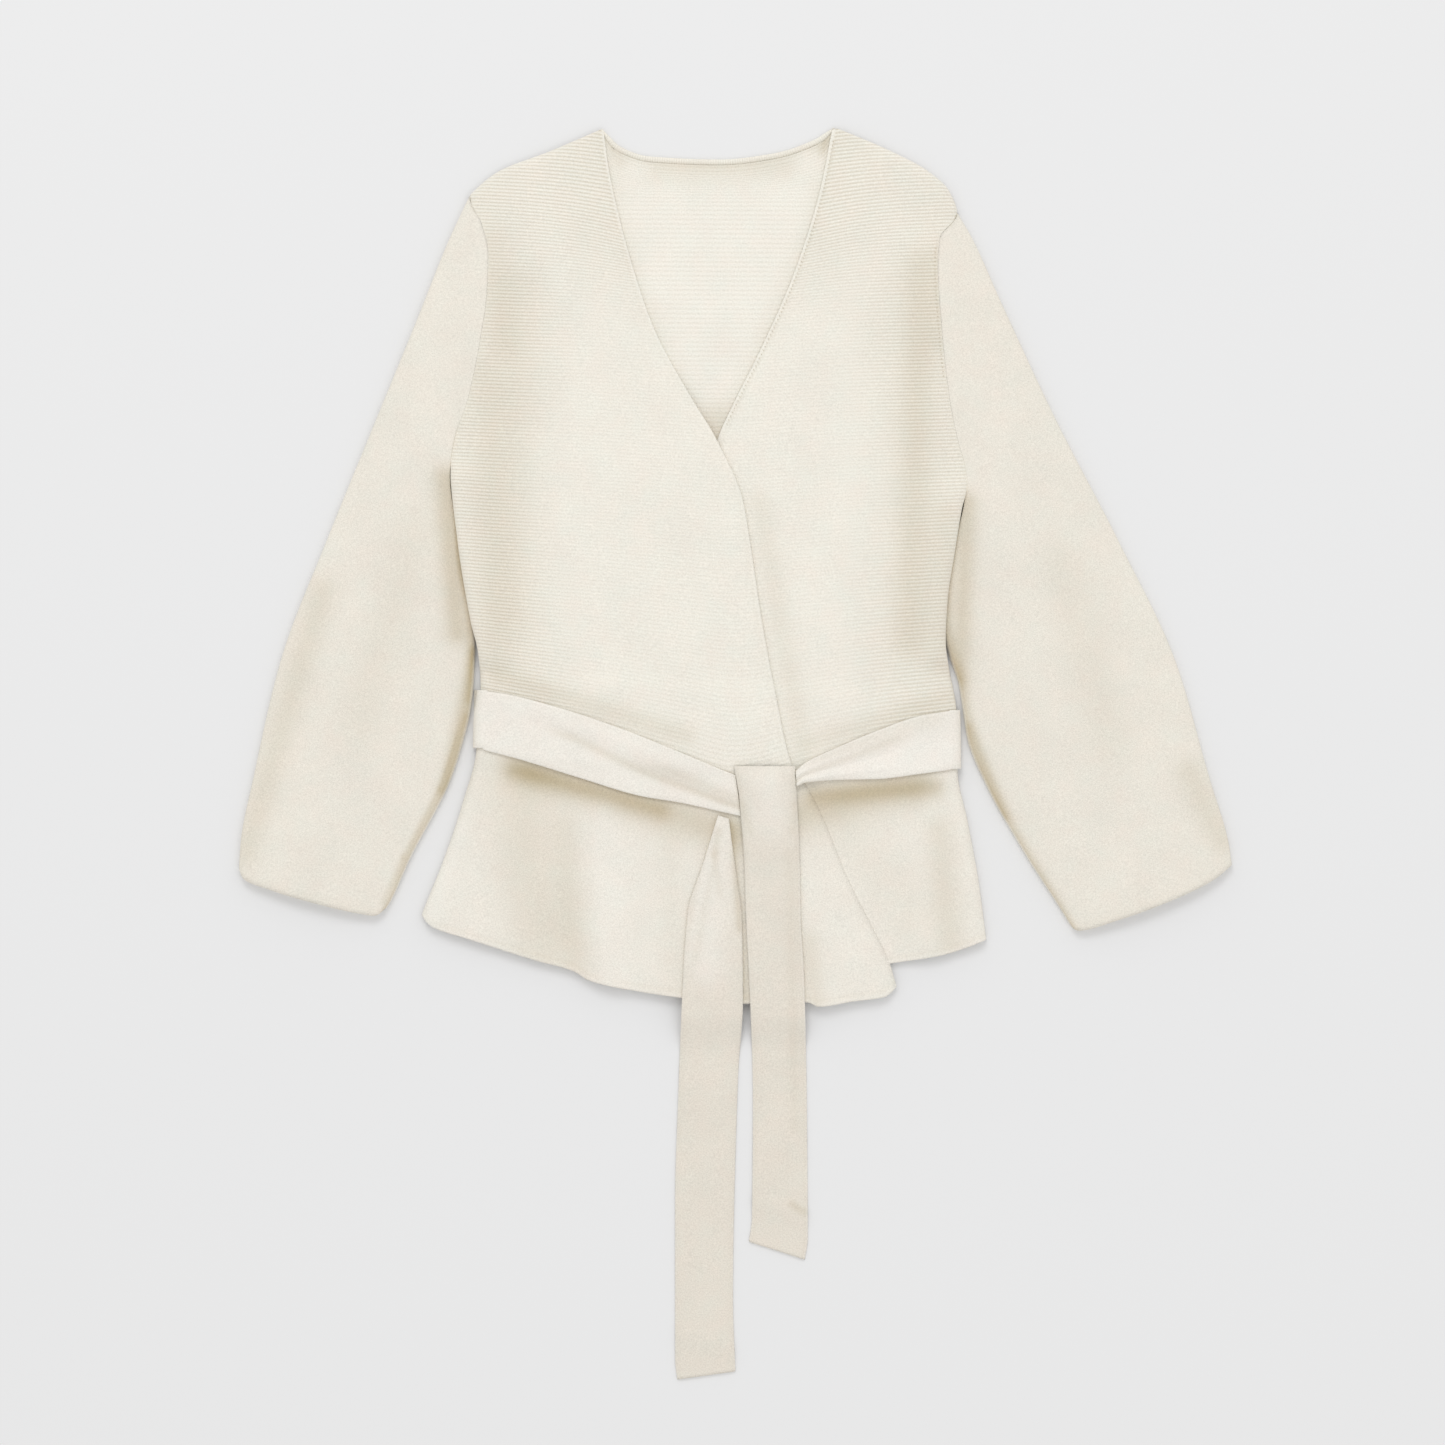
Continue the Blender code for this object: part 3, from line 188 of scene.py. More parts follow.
# The belt's front stretches by their upper and lower edges, from the side to the knot.
BELT_RIGHT_UPPER = [
    (-206.4, 50.4), (-180, 46.4), (-140, 36), (-92, 20), (-44, 0.8), (-1.6, -17.6),
]
BELT_RIGHT_LOWER = [
    (-207.2, 4), (-176, -4), (-124, -20), (-76, -34.4), (-44, -40), (-2, -50.4),
]
BELT_LEFT_UPPER = [
    (177.6, 34.4), (148, 29.6), (115.2, 18.4), (83.2, 4.8), (57.6, -8), (50.2, -14.4),
]
BELT_LEFT_LOWER = [
    (178.4, -12.8), (148, -16.8), (115.2, -20.8), (83.2, -21.6), (57.6, -23.6), (50.2, -27),
]
BELT_BACK_Y = [(-206.4, 27.2), (177.8, 10.8)]
BELT_WIDTH = 46.6

BELT_CLEAR = 0.9
TAIL_CLEAR = 0.5

KNOT_TOP_Y = -10.4
KNOT_END_Y = -62.0
KNOT_HEIGHT = 12.0
KNOT_TUCK = 1.2
KNOT_EXIT = 5.5

# The tails by their two long edges, from the knot to the end.
TAIL_FRONT_RIGHT_EDGE = [
    (-0.8, -10.4), (4, -44.8), (7.2, -85.6), (8.8, -132.8), (12, -197.6), (14.4, -277.6), (13.6, -373.6),
    (11.2, -392),
]
TAIL_FRONT_LEFT_EDGE = [
    (48, -10.4), (50, -44.8), (52, -96), (52.6, -132.8), (55.2, -177.6), (57.6, -277.6), (58.4, -389.6),
    (56, -406.4),
]
TAIL_BACK_RIGHT_EDGE = [
    (-13.6, -49.6), (-26.4, -91.2), (-37.6, -126.4), (-42.4, -197.6), (-45.6, -277.6), (-48, -357.6),
    (-48, -485.6), (-46.4, -502.6),
]
TAIL_BACK_LEFT_EDGE = [
    (-4.8, -52.4), (-3.2, -65.6), (1.6, -100.8), (5.6, -132.8), (6.4, -197.6), (2.4, -261.6),
    (-1.6, -437.6), (0.4, -496),
]
TAIL_DROP_START = -207.0
TAIL_DROP_LENGTH = 34.0

# Largest folds: a line on the floor from x, y to x, y, how wide it is, and how high it rises or sinks.
FOLDS_TOP_FRONT = [
    (-176, 372, -178, 110, 20, -1.6), (-140, 412, -66, 60, 38, 3), (-70, 330, -8, 150, 18, -0.7),
    (-108, -50, -102, -190, 13, 3.2), (-137, -50, -126, -182, 13, -1.6), (-196, -40, -206, -140, 15, 1.4),
    (-34, -62, -42, -190, 20, 1.6), (34, -60, 72, -196, 17, 1.8),
]
FOLDS_UNDER_FRONT = [
    (152, 430, 140, 70, 13, -1.7), (92, 410, 92, 40, 30, 3), (163, 230, 160, 80, 8, 0.8),
    (136, -40, 150, -150, 12, 2.2), (165, -50, 172, -150, 10, -1.4), (98, -40, 128, -120, 12, -0.8),
]
FOLDS_SLEEVE_RIGHT = [
    (-240, 360, -330, -60, 26, 3), (-282, 250, -372, -30, 16, -1.8), (-240, 180, -262, -40, 18, 2.4),
    (-262, 120, -300, -90, 15, -1.5),
]
FOLDS_SLEEVE_LEFT = [
    (212, 330, 340, -30, 24, 3), (232, 220, 292, -60, 17, -2), (196, 100, 262, -110, 16, 2.6),
    (330, 90, 366, -70, 13, -1.6),
]

# Ribs, the fronts' free edges, and how far the rows bend down towards the neck opening.
RIB_SAMPLES = 4
RIB_DEEP = 0.42
RIB_ROUNDNESS = 2.2
BACK_RIB_SCALE = 1.35
BACK_COLUMNS = 56
BACK_SQUEEZE_LEVEL = 430.0
BACK_SQUEEZE_LENGTH = 70.0
BACK_SQUEEZE_LOW_Y = 400.0
FRONT_COLUMNS = 44
FRONT_CROWDING = 1.35
RIGHT_TOP_LEVEL = 503.2
LEFT_TOP_LEVEL = 504.8
EDGE_THIN = 0.3
EDGE_THIN_REACH = 7.0
UNDER_LIP = 1.8
NECK_DROOP = 9.0
NECK_DROOP_LEVEL = 425.0
NECK_DROOP_SPAN = 48.0
NECK_DROOP_POWER = 2.2

# The peplum's grid, and its free edge, which lies low on the under front's.
PEPLUM_ROWS = 110
PEPLUM_COLUMNS = 70
PEPLUM_DROP = 170.0
POINT_SPACING = 2.0
PEPLUM_EDGE_REACH = 16.0
PEPLUM_EDGE_SINK = 1.05
PEPLUM_EDGE_THIN = 0.08
HIDDEN_COLUMNS = 8
BACK_PEPLUM_ROWS = 70
BACK_PEPLUM_COLUMNS = 90

# The belt's grid, and the flattened edge of each stretch.
WRAP_CLEAR = 0.7
WRAP_STEPS = 8
FOLD_SHARE = 0.035
BELT_FRONT_ROWS = 90
BELT_FRONT_COLUMNS = 41
BELT_EDGE_POWER = 14
KNOT_BEND_POWER = 6
KNOT_RISE_SHARE = 0.3
KNOT_JOIN_LENGTH = 46.0
CROWN_POWER = 0.6
TAIL_HEM_MARGIN = 8.0

# Colours of the cloth's clouds, its flecks, its stitches and the paper, then the light and the camera.
HUE_WARM = (1.03, 0.98, 0.95)
HUE_COOL = (0.97, 1.01, 0.99)
FLECK_STRENGTH = 0.42
STITCH_TONE = 0.55
PAPER_DARK = (0.82, 0.82, 0.822)
PAPER_LIGHT = (0.83, 0.83, 0.832)
FLOOR_SIZE = 6.0
WORLD_LIGHT = 0.82
Light = namedtuple("Light", "name x y z size power")
LIGHTS = (
    Light("key", -0.7, 3.0, 3.6, 2.2, 42.0),
    Light("fill", 2.2, -1.6, 4.2, 3.0, 14.0),
)
CAMERA_HEIGHT = 3.221
PHOTO_CENTRE = (-0.010, 0.0244)

# Finer creases, laid over the largest folds.
FOLDS_TOP_FRONT += [
    (-186, 210, -150, 120, 7, 0.7), (-120, 140, -40, 40, 11, -0.7), (-90, 110, 10, 20, 8, 0.6),
    (-170, 90, -120, 44, 8, -0.6), (-66, -60, -74, -170, 9, -0.9), (-160, -40, -176, -130, 8, 0.8),
    (-222, -80, -240, -126, 6, -0.7), (98, -110, 112, -190, 7, 0.8),
]
FOLDS_UNDER_FRONT += [
    (60, 150, 120, 60, 9, 0.6), (70, 60, 150, 30, 7, -0.5), (112, 300, 128, 140, 8, 0.5),
    (182, -70, 192, -140, 6, 0.7),
]
FOLDS_SLEEVE_RIGHT += [
    (-226, 330, -262, 214, 8, -0.8), (-330, 120, -360, 10, 8, 0.9), (-246, 60, -276, -60, 7, 0.9),
    (-352, 20, -380, -70, 9, -1), (-300, 40, -338, -100, 8, 0.8),
]
FOLDS_SLEEVE_LEFT += [
    (204, 300, 236, 196, 8, -0.8), (262, 210, 318, 60, 9, 0.8), (228, 60, 270, -90, 8, -1),
    (300, 40, 330, -90, 8, -0.9), (360, 20, 384, -70, 7, 0.9),
]

# Painted shade, darker and warmer, and painted highlight where the amount is negative: a line, how wide it
# is, and how much.
SHADING_FRONT = [
    (-194, 410, -186, 330, 13, 0.08), (-170, 470, -150, 400, 34, -0.03), (140, 464, 120, 420, 34, -0.04),
    (-200, 300, -190, 80, 16, 0.09), (-176, 372, -178, 110, 20, 0.08), (166, 400, 162, 330, 10, 0.08),
    (149, 390, 140, 90, 14, 0.16), (170, 190, 164, 70, 10, 0.10), (-190, 62, -40, 14, 9, 0.16),
    (60, 8, 170, 44, 8, 0.12), (20, 200, 54, 0, 9, 0.10),
]
SHADING_BACK = [
    (-60, 468, 40, 470, 10, 0.14), (76, 498, 70, 484, 5, 0.3), (-98, 492, -92, 474, 6, 0.12),
    (-14, 270, -14, 256, 12, 0.2),
]
SHADING_PEPLUM = [
    (-176, -24, -150, -150, 30, 0.16), (-136, -60, -126, -190, 11, 0.09), (-104, -44, -98, -188, 12, -0.06),
    (-222, -60, -244, -128, 8, -0.05), (-52, -70, -48, -190, 12, 0.06), (90, -60, 140, -130, 26, 0.06),
    (-176, -14, -60, -46, 9, 0.26), (64, -34, 160, -28, 9, 0.28), (164, -62, 172, -150, 12, 0.14),
    (60, -150, 64, -200, 8, 0.14), (-6, -60, 6, -196, 7, 0.30),
]
SHADING_SLEEVE_RIGHT = [
    (-209.6, 84, -214.4, 42, 2.2, 0.12), (-216, 30, -237, -29.6, 2.2, 0.14),
    (-237, -29.6, -266, -84, 2.2, 0.12), (-266, -84, -282, -120, 2.2, 0.12),
    (-232, 220, -222, 96, 10, 0.30), (-255, 180, -300, 20, 20, 0.06), (-330, 130, -392, -80, 12, 0.14),
    (-210, 80, -232, -30, 6, 0.22),
]
SHADING_SLEEVE_LEFT = [
    (186, 200, 180, 60, 9, 0.26), (262, 150, 300, 10, 20, 0.06), (364, -16, 390, -70, 12, 0.14),
    (188, 20, 216, -50, 5, 0.22),
]

# Along a stretch from its start (0) to the knot (1), and across it from its upper edge (0) to its lower.
PLEATS_RIGHT = [
    (0, 0.10, 0.55, 0.22, 0.12, 0.7), (0.30, 0.36, 1, 0.82, 0.09, -0.9), (0.45, 0.20, 1, 0.42, 0.16, 0.9),
]
PLEATS_LEFT = [
    (0.30, 0.20, 1, 0.36, 0.10, 0.8), (0.42, 0.52, 1, 0.66, 0.07, -1), (0.45, 0.78, 1, 0.86, 0.09, 0.9),
]
# Painted shade where positive and painted highlight where negative, along the belt's creases.
SHADING_BELT_RIGHT = [
    (0.36, 0.40, 1, 0.80, 0.07, 0.16), (0.78, 0.46, 1.02, 0.66, 0.15, 0.16),
]
SHADING_BELT_LEFT = [
    (0.20, 0.70, 0.60, 0.75, 0.25, -0.06), (0.40, 0.30, 1, 0.55, 0.09, 0.12),
    (0.20, 0.12, 0.8, 0.16, 0.14, 0.10),
]
PLEATS_KNOT = [
    (0.10, 0.60, 0.22, 1, 0.09, -0.6), (0.92, 0.60, 0.80, 1, 0.08, -0.5),
    (0.45, 0.20, 0.55, 0.9, 0.25, 0.5),
]
# Painted shade along the knot's two sides in its lower part, and a painted highlight down its middle.
SHADING_KNOT = [
    (0.06, 0.60, 0.14, 1, 0.07, 0.08), (0.94, 0.60, 0.88, 1, 0.07, 0.08),
    (0.50, 0.10, 0.50, 0.70, 0.40, -0.10),
]
WAVES_TAIL_FRONT = [
    (16, -360, 56, -372, 7, 1.2), (30, -90, 32, -200, 12, 0.5), (36, -250, 30, -340, 14, 1),
]
# Painted shade where positive and painted highlight where negative, on the front tail.
SHADING_TAIL_FRONT = [
    (46, -362, 55, -368, 3.5, 0.16), (44, -80, 48, -300, 5, 0.05),
]
WAVES_TAIL_BACK = [
    (-18, -62, -14, -120, 5, -0.7), (-24, -260, -26, -400, 14, 1.2), (-40, -470, -4, -480, 8, 0.9),
]
# Painted shade where positive and painted highlight where negative, on the back tail.
SHADING_TAIL_BACK = [
    (-16, -56, -38, -165, 4, -0.04), (-11.5, -62, -32, -165, 3, 0.05), (-13, -60, -22, -170, 16, -0.12),
    (-14.4, -61.6, -16.8, -80.8, 3.4, 0.12), (-16.8, -80.8, -12.4, -112, 3, 0.08),
    (0, -80, 4, -140, 3.5, 0.18),
]


def smooth(value):
    held = np.clip(value, 0.0, 1.0)
    return held * held * (3.0 - 2.0 * held)


def mix(low, high, share):
    return low + (high - low) * share


def bell(value):
    return np.exp(-value * value)


def curve(points, from_column, to_column):
    """A curve with no overshoot through a table's columns, straight beyond both ends."""
    rows = sorted(points, key=lambda row: row[from_column])
    knots = np.array([row[from_column] for row in rows], float)
    values = np.array([row[to_column] for row in rows], float)
    steps = np.diff(knots)
    slopes = np.diff(values) / steps
    tangents = np.empty(len(knots))
    tangents[0], tangents[-1] = slopes[0], slopes[-1]
    before, after = slopes[:-1], slopes[1:]
    total = np.where(before + after == 0.0, 1.0, before + after)
    tangents[1:-1] = np.where(before * after > 0, 2.0 * before * after / total, 0.0)

    def at(knot):
        knot = np.asarray(knot, float)
        i = np.clip(np.searchsorted(knots, knot, side="right") - 1, 0, len(steps) - 1)
        step = steps[i]
        part = (knot - knots[i]) / step
        held = np.clip(part, 0.0, 1.0)
        rest = 1.0 - held
        inside = (
            values[i] * rest * rest * (1.0 + 2.0 * held)
            + values[i + 1] * held * held * (3.0 - 2.0 * held)
            + tangents[i] * step * held * rest * rest
            - tangents[i + 1] * step * held * held * rest
        )
        beyond = np.where(part > 1.0, (part - 1.0) * tangents[-1], np.minimum(part, 0.0) * tangents[0])
        return inside + beyond * step

    return at


def x_of_y(points):
    return curve(points, 1, 0)


def y_of_x(points):
    return curve(points, 0, 1)


def path(points):
    """A plan curve from 0 to 1 along its length, as (x, y)."""
    plan = np.array(points, float)
    run = np.concatenate([[0.0], np.cumsum(np.hypot(*np.diff(plan, axis=0).T))])
    rows = [(share, x, y) for share, (x, y) in zip(run / run[-1], plan)]
    x_at, y_at = curve(rows, 0, 1), curve(rows, 0, 2)
    return lambda share: np.stack([x_at(share), y_at(share)], axis=-1)


body_right_x = x_of_y(BODY_RIGHT)
body_left_x = x_of_y(BODY_LEFT)
side_right_x = x_of_y(BODY_RIGHT[:-1] + PEPLUM_SIDE_RIGHT)
side_left_x = x_of_y(BODY_LEFT[:-1] + PEPLUM_SIDE_LEFT)
top_edge_x = x_of_y(TOP_EDGE)
under_edge_x = x_of_y(UNDER_EDGE)
waist_y = y_of_x(WAIST)
back_neck_y = y_of_x(BACK_NECK)
belt_back_y = y_of_x(BELT_BACK_Y)
shoulder_right_y = y_of_x(BODY_RIGHT[:5])
shoulder_left_y = y_of_x(BODY_LEFT[:5])
tail_front_right_x = x_of_y(TAIL_FRONT_RIGHT_EDGE)
tail_front_left_x = x_of_y(TAIL_FRONT_LEFT_EDGE)
tail_back_right_x = x_of_y(TAIL_BACK_RIGHT_EDGE)
tail_back_left_x = x_of_y(TAIL_BACK_LEFT_EDGE)


def fold_height(folds, x, y):
    """The sum of soft ridges and troughs along the folds' lines, fading at their ends."""
    total = np.zeros(np.broadcast(x, y).shape)
    for x0, y0, x1, y1, width, height in folds:
        dx, dy = x1 - x0, y1 - y0
        length = math.hypot(dx, dy)
        along = ((x - x0) * dx + (y - y0) * dy) / length
        aside = ((x - x0) * dy - (y - y0) * dx) / length
        beyond = np.maximum(np.maximum(-along, along - length), 0.0)
        total += height * np.exp(-(aside**2 + beyond**2) / width**2)
    return total


def row_y(x, level, waist=waist_y):
    """A knitted row: level at the top, and sagging to the waist line at the bottom."""
    share = SAG_AT_TOP + (1.0 - SAG_AT_TOP) * np.exp(-(level - WAIST_LEVEL) / SAG_FADE)
    return level + share * (waist(x) - WAIST_LEVEL)


def meet(edge_x, level, waist=waist_y):
    """Where a knitted row meets an edge."""
    x = edge_x(level)
    for _ in range(9):
        x = mix(x, edge_x(row_y(x, level, waist)), 0.8)
    return x


def back_base(x, y):
    """The back's lower face: on the floor, raised over the belt and over each sleeve's inner edge."""
    beside = np.abs(y - belt_back_y(x)) - BELT_WIDTH / 2
    rise = (BELT_WALL + GAP) * smooth(1.0 - (beside - BELT_RISE_START) / BELT_RISE_LENGTH)
    for edge_x, side, corners in ((body_right_x, 1, RIGHT_CORNERS), (body_left_x, -1, LEFT_CORNERS)):
        inside = np.maximum((x - edge_x(y)) * side, 0.0)
        window = smooth((corners.underarm_y + LIFT_TOP - y) / LIFT_FADE)
        window = window * smooth((y - LIFT_LOW_Y) / LIFT_FADE)
        rise = np.maximum(rise, SLEEVE_LIFT * window * smooth(LIFT_FULL - inside / LIFT_REACH))
    return rise


def near_waist(x, y):
    return bell((y - waist_y(x)) / WAIST_SOFTNESS)


def top_front_face(x, y):
    """The lower face of the top front."""
    climb = smooth((V_POINT_Y + V_CLIMB_START - y) / V_CLIMB_LENGTH)
    edge_air = mix(AIR_EDGE, AIR_OVER_UNDER, climb)
    body_air = mix(AIR_TOP + fold_height(FOLDS_TOP_FRONT, x, y), AIR_OVER_UNDER, near_waist(x, y))
    covered = smooth((x - under_edge_x(y)) / COVERED_SOFTNESS + 1.0)
    body_air = np.maximum(body_air, covered * (AIR_OVER_UNDER - GAP))
    inside = (top_edge_x(y) - x) / EDGE_SOFTNESS
    return back_base(x, y) + WALL + mix(edge_air, body_air, smooth(inside))


def under_front_face(x, y):
    """The lower face of the under front, which lies low where the top front covers it."""
    body_air = mix(AIR_UNDER + fold_height(FOLDS_UNDER_FRONT, x, y), AIR_UNDER_WAIST, near_waist(x, y))
    inside = (x - np.maximum(top_edge_x(y), under_edge_x(y)) - UNDER_INSET) / EDGE_SOFTNESS
    return back_base(x, y) + WALL + mix(AIR_EDGE, body_air, smooth(inside))


def deck(x, y):
    """The uppermost face of the body, which the belt and its tails lie on."""
    over_edge = smooth((top_edge_x(y) + DECK_SOFTNESS - x) / DECK_SOFTNESS)
    low = under_front_face(x, y) + WALL + RIB_HEIGHT
    high = top_front_face(np.minimum(x, top_edge_x(y)), y) + WALL + RIB_HEIGHT
    return mix(low, np.maximum(high, low), over_edge)


def rolled(corners, y):
    """1 where the body's edge is a fold, 0 where a sleeve is sewn to it."""
    shoulder = smooth((y - corners.shoulder_y + SHOULDER_FADE) / SHOULDER_FADE)
    side = smooth((corners.underarm_y + UNDERARM_START - y) / UNDERARM_FADE)
    return np.maximum(shoulder, side)


def texture(nodes, links, kind, place, scale, detail=None):
    """A procedural texture over the cloth."""
    made = nodes.new(kind)
    made.inputs["Scale"].default_value = scale
    if detail is not None:
        made.inputs["Detail"].default_value = detail
    links.new(place.outputs["Object"], made.inputs["Vector"])
    return made


def blend(nodes, links, share, low, high):
    """A colour between two, by a node's value."""
    made = nodes.new("ShaderNodeMix")
    made.data_type = "RGBA"
    made.inputs[6].default_value = (*low, 1.0)
    made.inputs[7].default_value = (*high, 1.0)
    links.new(share, made.inputs[0])
    return made.outputs[2]


def arithmetic(nodes, links, operation, value, *numbers):
    made = nodes.new("ShaderNodeMath")
    made.operation = operation
    links.new(value, made.inputs[0])
    for slot, number in enumerate(numbers, 1):
        made.inputs[slot].default_value = number
    return made


def knit_material(name, base, deep, loop_scale):
    """Knitted cloth: painted shade and highlight at each place, mixed between the warm shadow colour deep
    and the base colour, yarn flecks, fine loops in relief and a soft sheen.
    """
    material = bpy.data.materials.new(name)
    material.use_nodes = True
    nodes, links = material.node_tree.nodes, material.node_tree.links
    shader = nodes["Principled BSDF"]
    shader.inputs["Roughness"].default_value = 0.92
    shader.inputs["Specular IOR Level"].default_value = 0.22
    shader.inputs["Sheen Weight"].default_value = 0.12
    shader.inputs["Sheen Roughness"].default_value = 0.5
    # Each point's painted shade and highlight, stored on the mesh.
    shade_and_tone = nodes.new("ShaderNodeAttribute")
    shade_and_tone.attribute_name = "shade_and_tone"
    place = nodes.new("ShaderNodeTexCoord")
    cloudy = texture(nodes, links, "ShaderNodeTexNoise", place, 26.0, 3.0)
    flecks = texture(nodes, links, "ShaderNodeTexNoise", place, 900.0, 2.0)
    hues = texture(nodes, links, "ShaderNodeTexNoise", place, 60.0, 4.0)
    # Painted shade mixes the cloth towards its warm shadow colour deep.
    shade = blend(nodes, links, shade_and_tone.outputs["Fac"], deep, base)
    hue = blend(nodes, links, hues.outputs["Fac"], HUE_WARM, HUE_COOL)
    clouds = arithmetic(nodes, links, "MULTIPLY_ADD", cloudy.outputs["Fac"], 0.10, 0.95)
    yarn = arithmetic(nodes, links, "MULTIPLY_ADD", flecks.outputs["Fac"], FLECK_STRENGTH)
    links.new(clouds.outputs[0], yarn.inputs[2])
    level = arithmetic(nodes, links, "SUBTRACT", yarn.outputs[0], FLECK_STRENGTH / 2)
    toned = nodes.new("ShaderNodeVectorMath")
    toned.operation = "MULTIPLY"
    links.new(shade, toned.inputs[0])
    links.new(hue, toned.inputs[1])
    tint = nodes.new("ShaderNodeVectorMath")
    tint.operation = "SCALE"
    links.new(toned.outputs[0], tint.inputs[0])
    links.new(level.outputs[0], tint.inputs["Scale"])
    links.new(tint.outputs[0], shader.inputs["Base Color"])
    loops = texture(nodes, links, "ShaderNodeTexVoronoi", place, loop_scale)
    relief = nodes.new("ShaderNodeBump")
    relief.inputs["Strength"].default_value = 0.55
    relief.inputs["Distance"].default_value = 0.0004
    links.new(loops.outputs["Distance"], relief.inputs["Height"])
    links.new(relief.outputs["Normal"], shader.inputs["Normal"])
    return material


def make_piece(name, points, faces, shade_and_tone, material):
    mesh = bpy.data.meshes.new(name)
    mesh.vertices.add(len(points))
    mesh.vertices.foreach_set("co", (np.asarray(points) * MM).ravel())
    faces = np.asarray(faces, np.int32)
    mesh.loops.add(faces.size)
    mesh.loops.foreach_set("vertex_index", faces.ravel())
    mesh.polygons.add(len(faces))
    mesh.polygons.foreach_set("loop_start", np.arange(len(faces), dtype=np.int32) * 4)
    mesh.polygons.foreach_set("loop_total", np.full(len(faces), 4, np.int32))
    # Each point's painted shade and highlight, which the material reads.
    layer = mesh.attributes.new("shade_and_tone", "FLOAT", "POINT")
    layer.data.foreach_set("value", np.asarray(shade_and_tone, np.float32))
    mesh.update(calc_edges=True)
    mesh.validate()
    mesh.polygons.foreach_set("use_smooth", np.ones(len(mesh.polygons), bool))
    made = bpy.data.objects.new(name, mesh)
    bpy.context.scene.collection.objects.link(made)
    mesh.materials.append(material)
    return made


def grid_faces(rows, columns, start, wrap, flip):
    """Quads over a grid of points whose first index is start."""
    index = start + np.arange(rows * columns).reshape(rows, columns)
    right = np.roll(index, -1, axis=1) if wrap else index[:, 1:]
    left = index if wrap else index[:, :-1]
    quads = np.stack([left[:-1], right[:-1], right[1:], left[1:]], axis=-1).reshape(-1, 4)
    return quads[:, ::-1] if flip else quads


def shell(name, outer, inner, shade_and_tone, material, wrap=False, flip=False):
    """A wall between two grids of points (rows, columns, xyz), closed along its open edges."""
    rows, columns = outer.shape[:2]
    count = rows * columns
    out = np.arange(count).reshape(rows, columns)
    ins = out + count
    parts = [grid_faces(rows, columns, 0, wrap, flip), grid_faces(rows, columns, count, wrap, not flip)]
    rims = [(out[0], ins[0], flip), (out[-1], ins[-1], not flip)]
    if not wrap:
        rims += [(out[:, 0], ins[:, 0], not flip), (out[:, -1], ins[:, -1], flip)]
    for edge, other, turn in rims:
        after, other_after = np.roll(edge, -1), np.roll(other, -1)
        quads = np.stack([edge, other, other_after, after], axis=-1)
        if not (wrap and len(edge) == columns):
            quads = quads[:-1]
        parts.append(quads[:, ::-1] if turn else quads)
    points = np.concatenate([outer.reshape(-1, 3), inner.reshape(-1, 3)])
    shades_and_tones = np.concatenate([shade_and_tone.ravel(), shade_and_tone.ravel()])
    return make_piece(name, points, np.concatenate(parts), shades_and_tones, material)


def stack(x, y, z):
    return np.stack(np.broadcast_arrays(x, y, z), axis=-1)


def rib_profile(level):
    """1 on a rib's broad round top, 0 in the narrow groove between two ribs."""
    turn = 2.0 * np.pi * (level - WAIST_LEVEL) / RIB_PITCH
    return 1.0 - (0.5 + 0.5 * np.cos(turn)) ** RIB_ROUNDNESS


def rib_rows(low, high):
    return np.arange(high, low, -RIB_PITCH / RIB_SAMPLES)


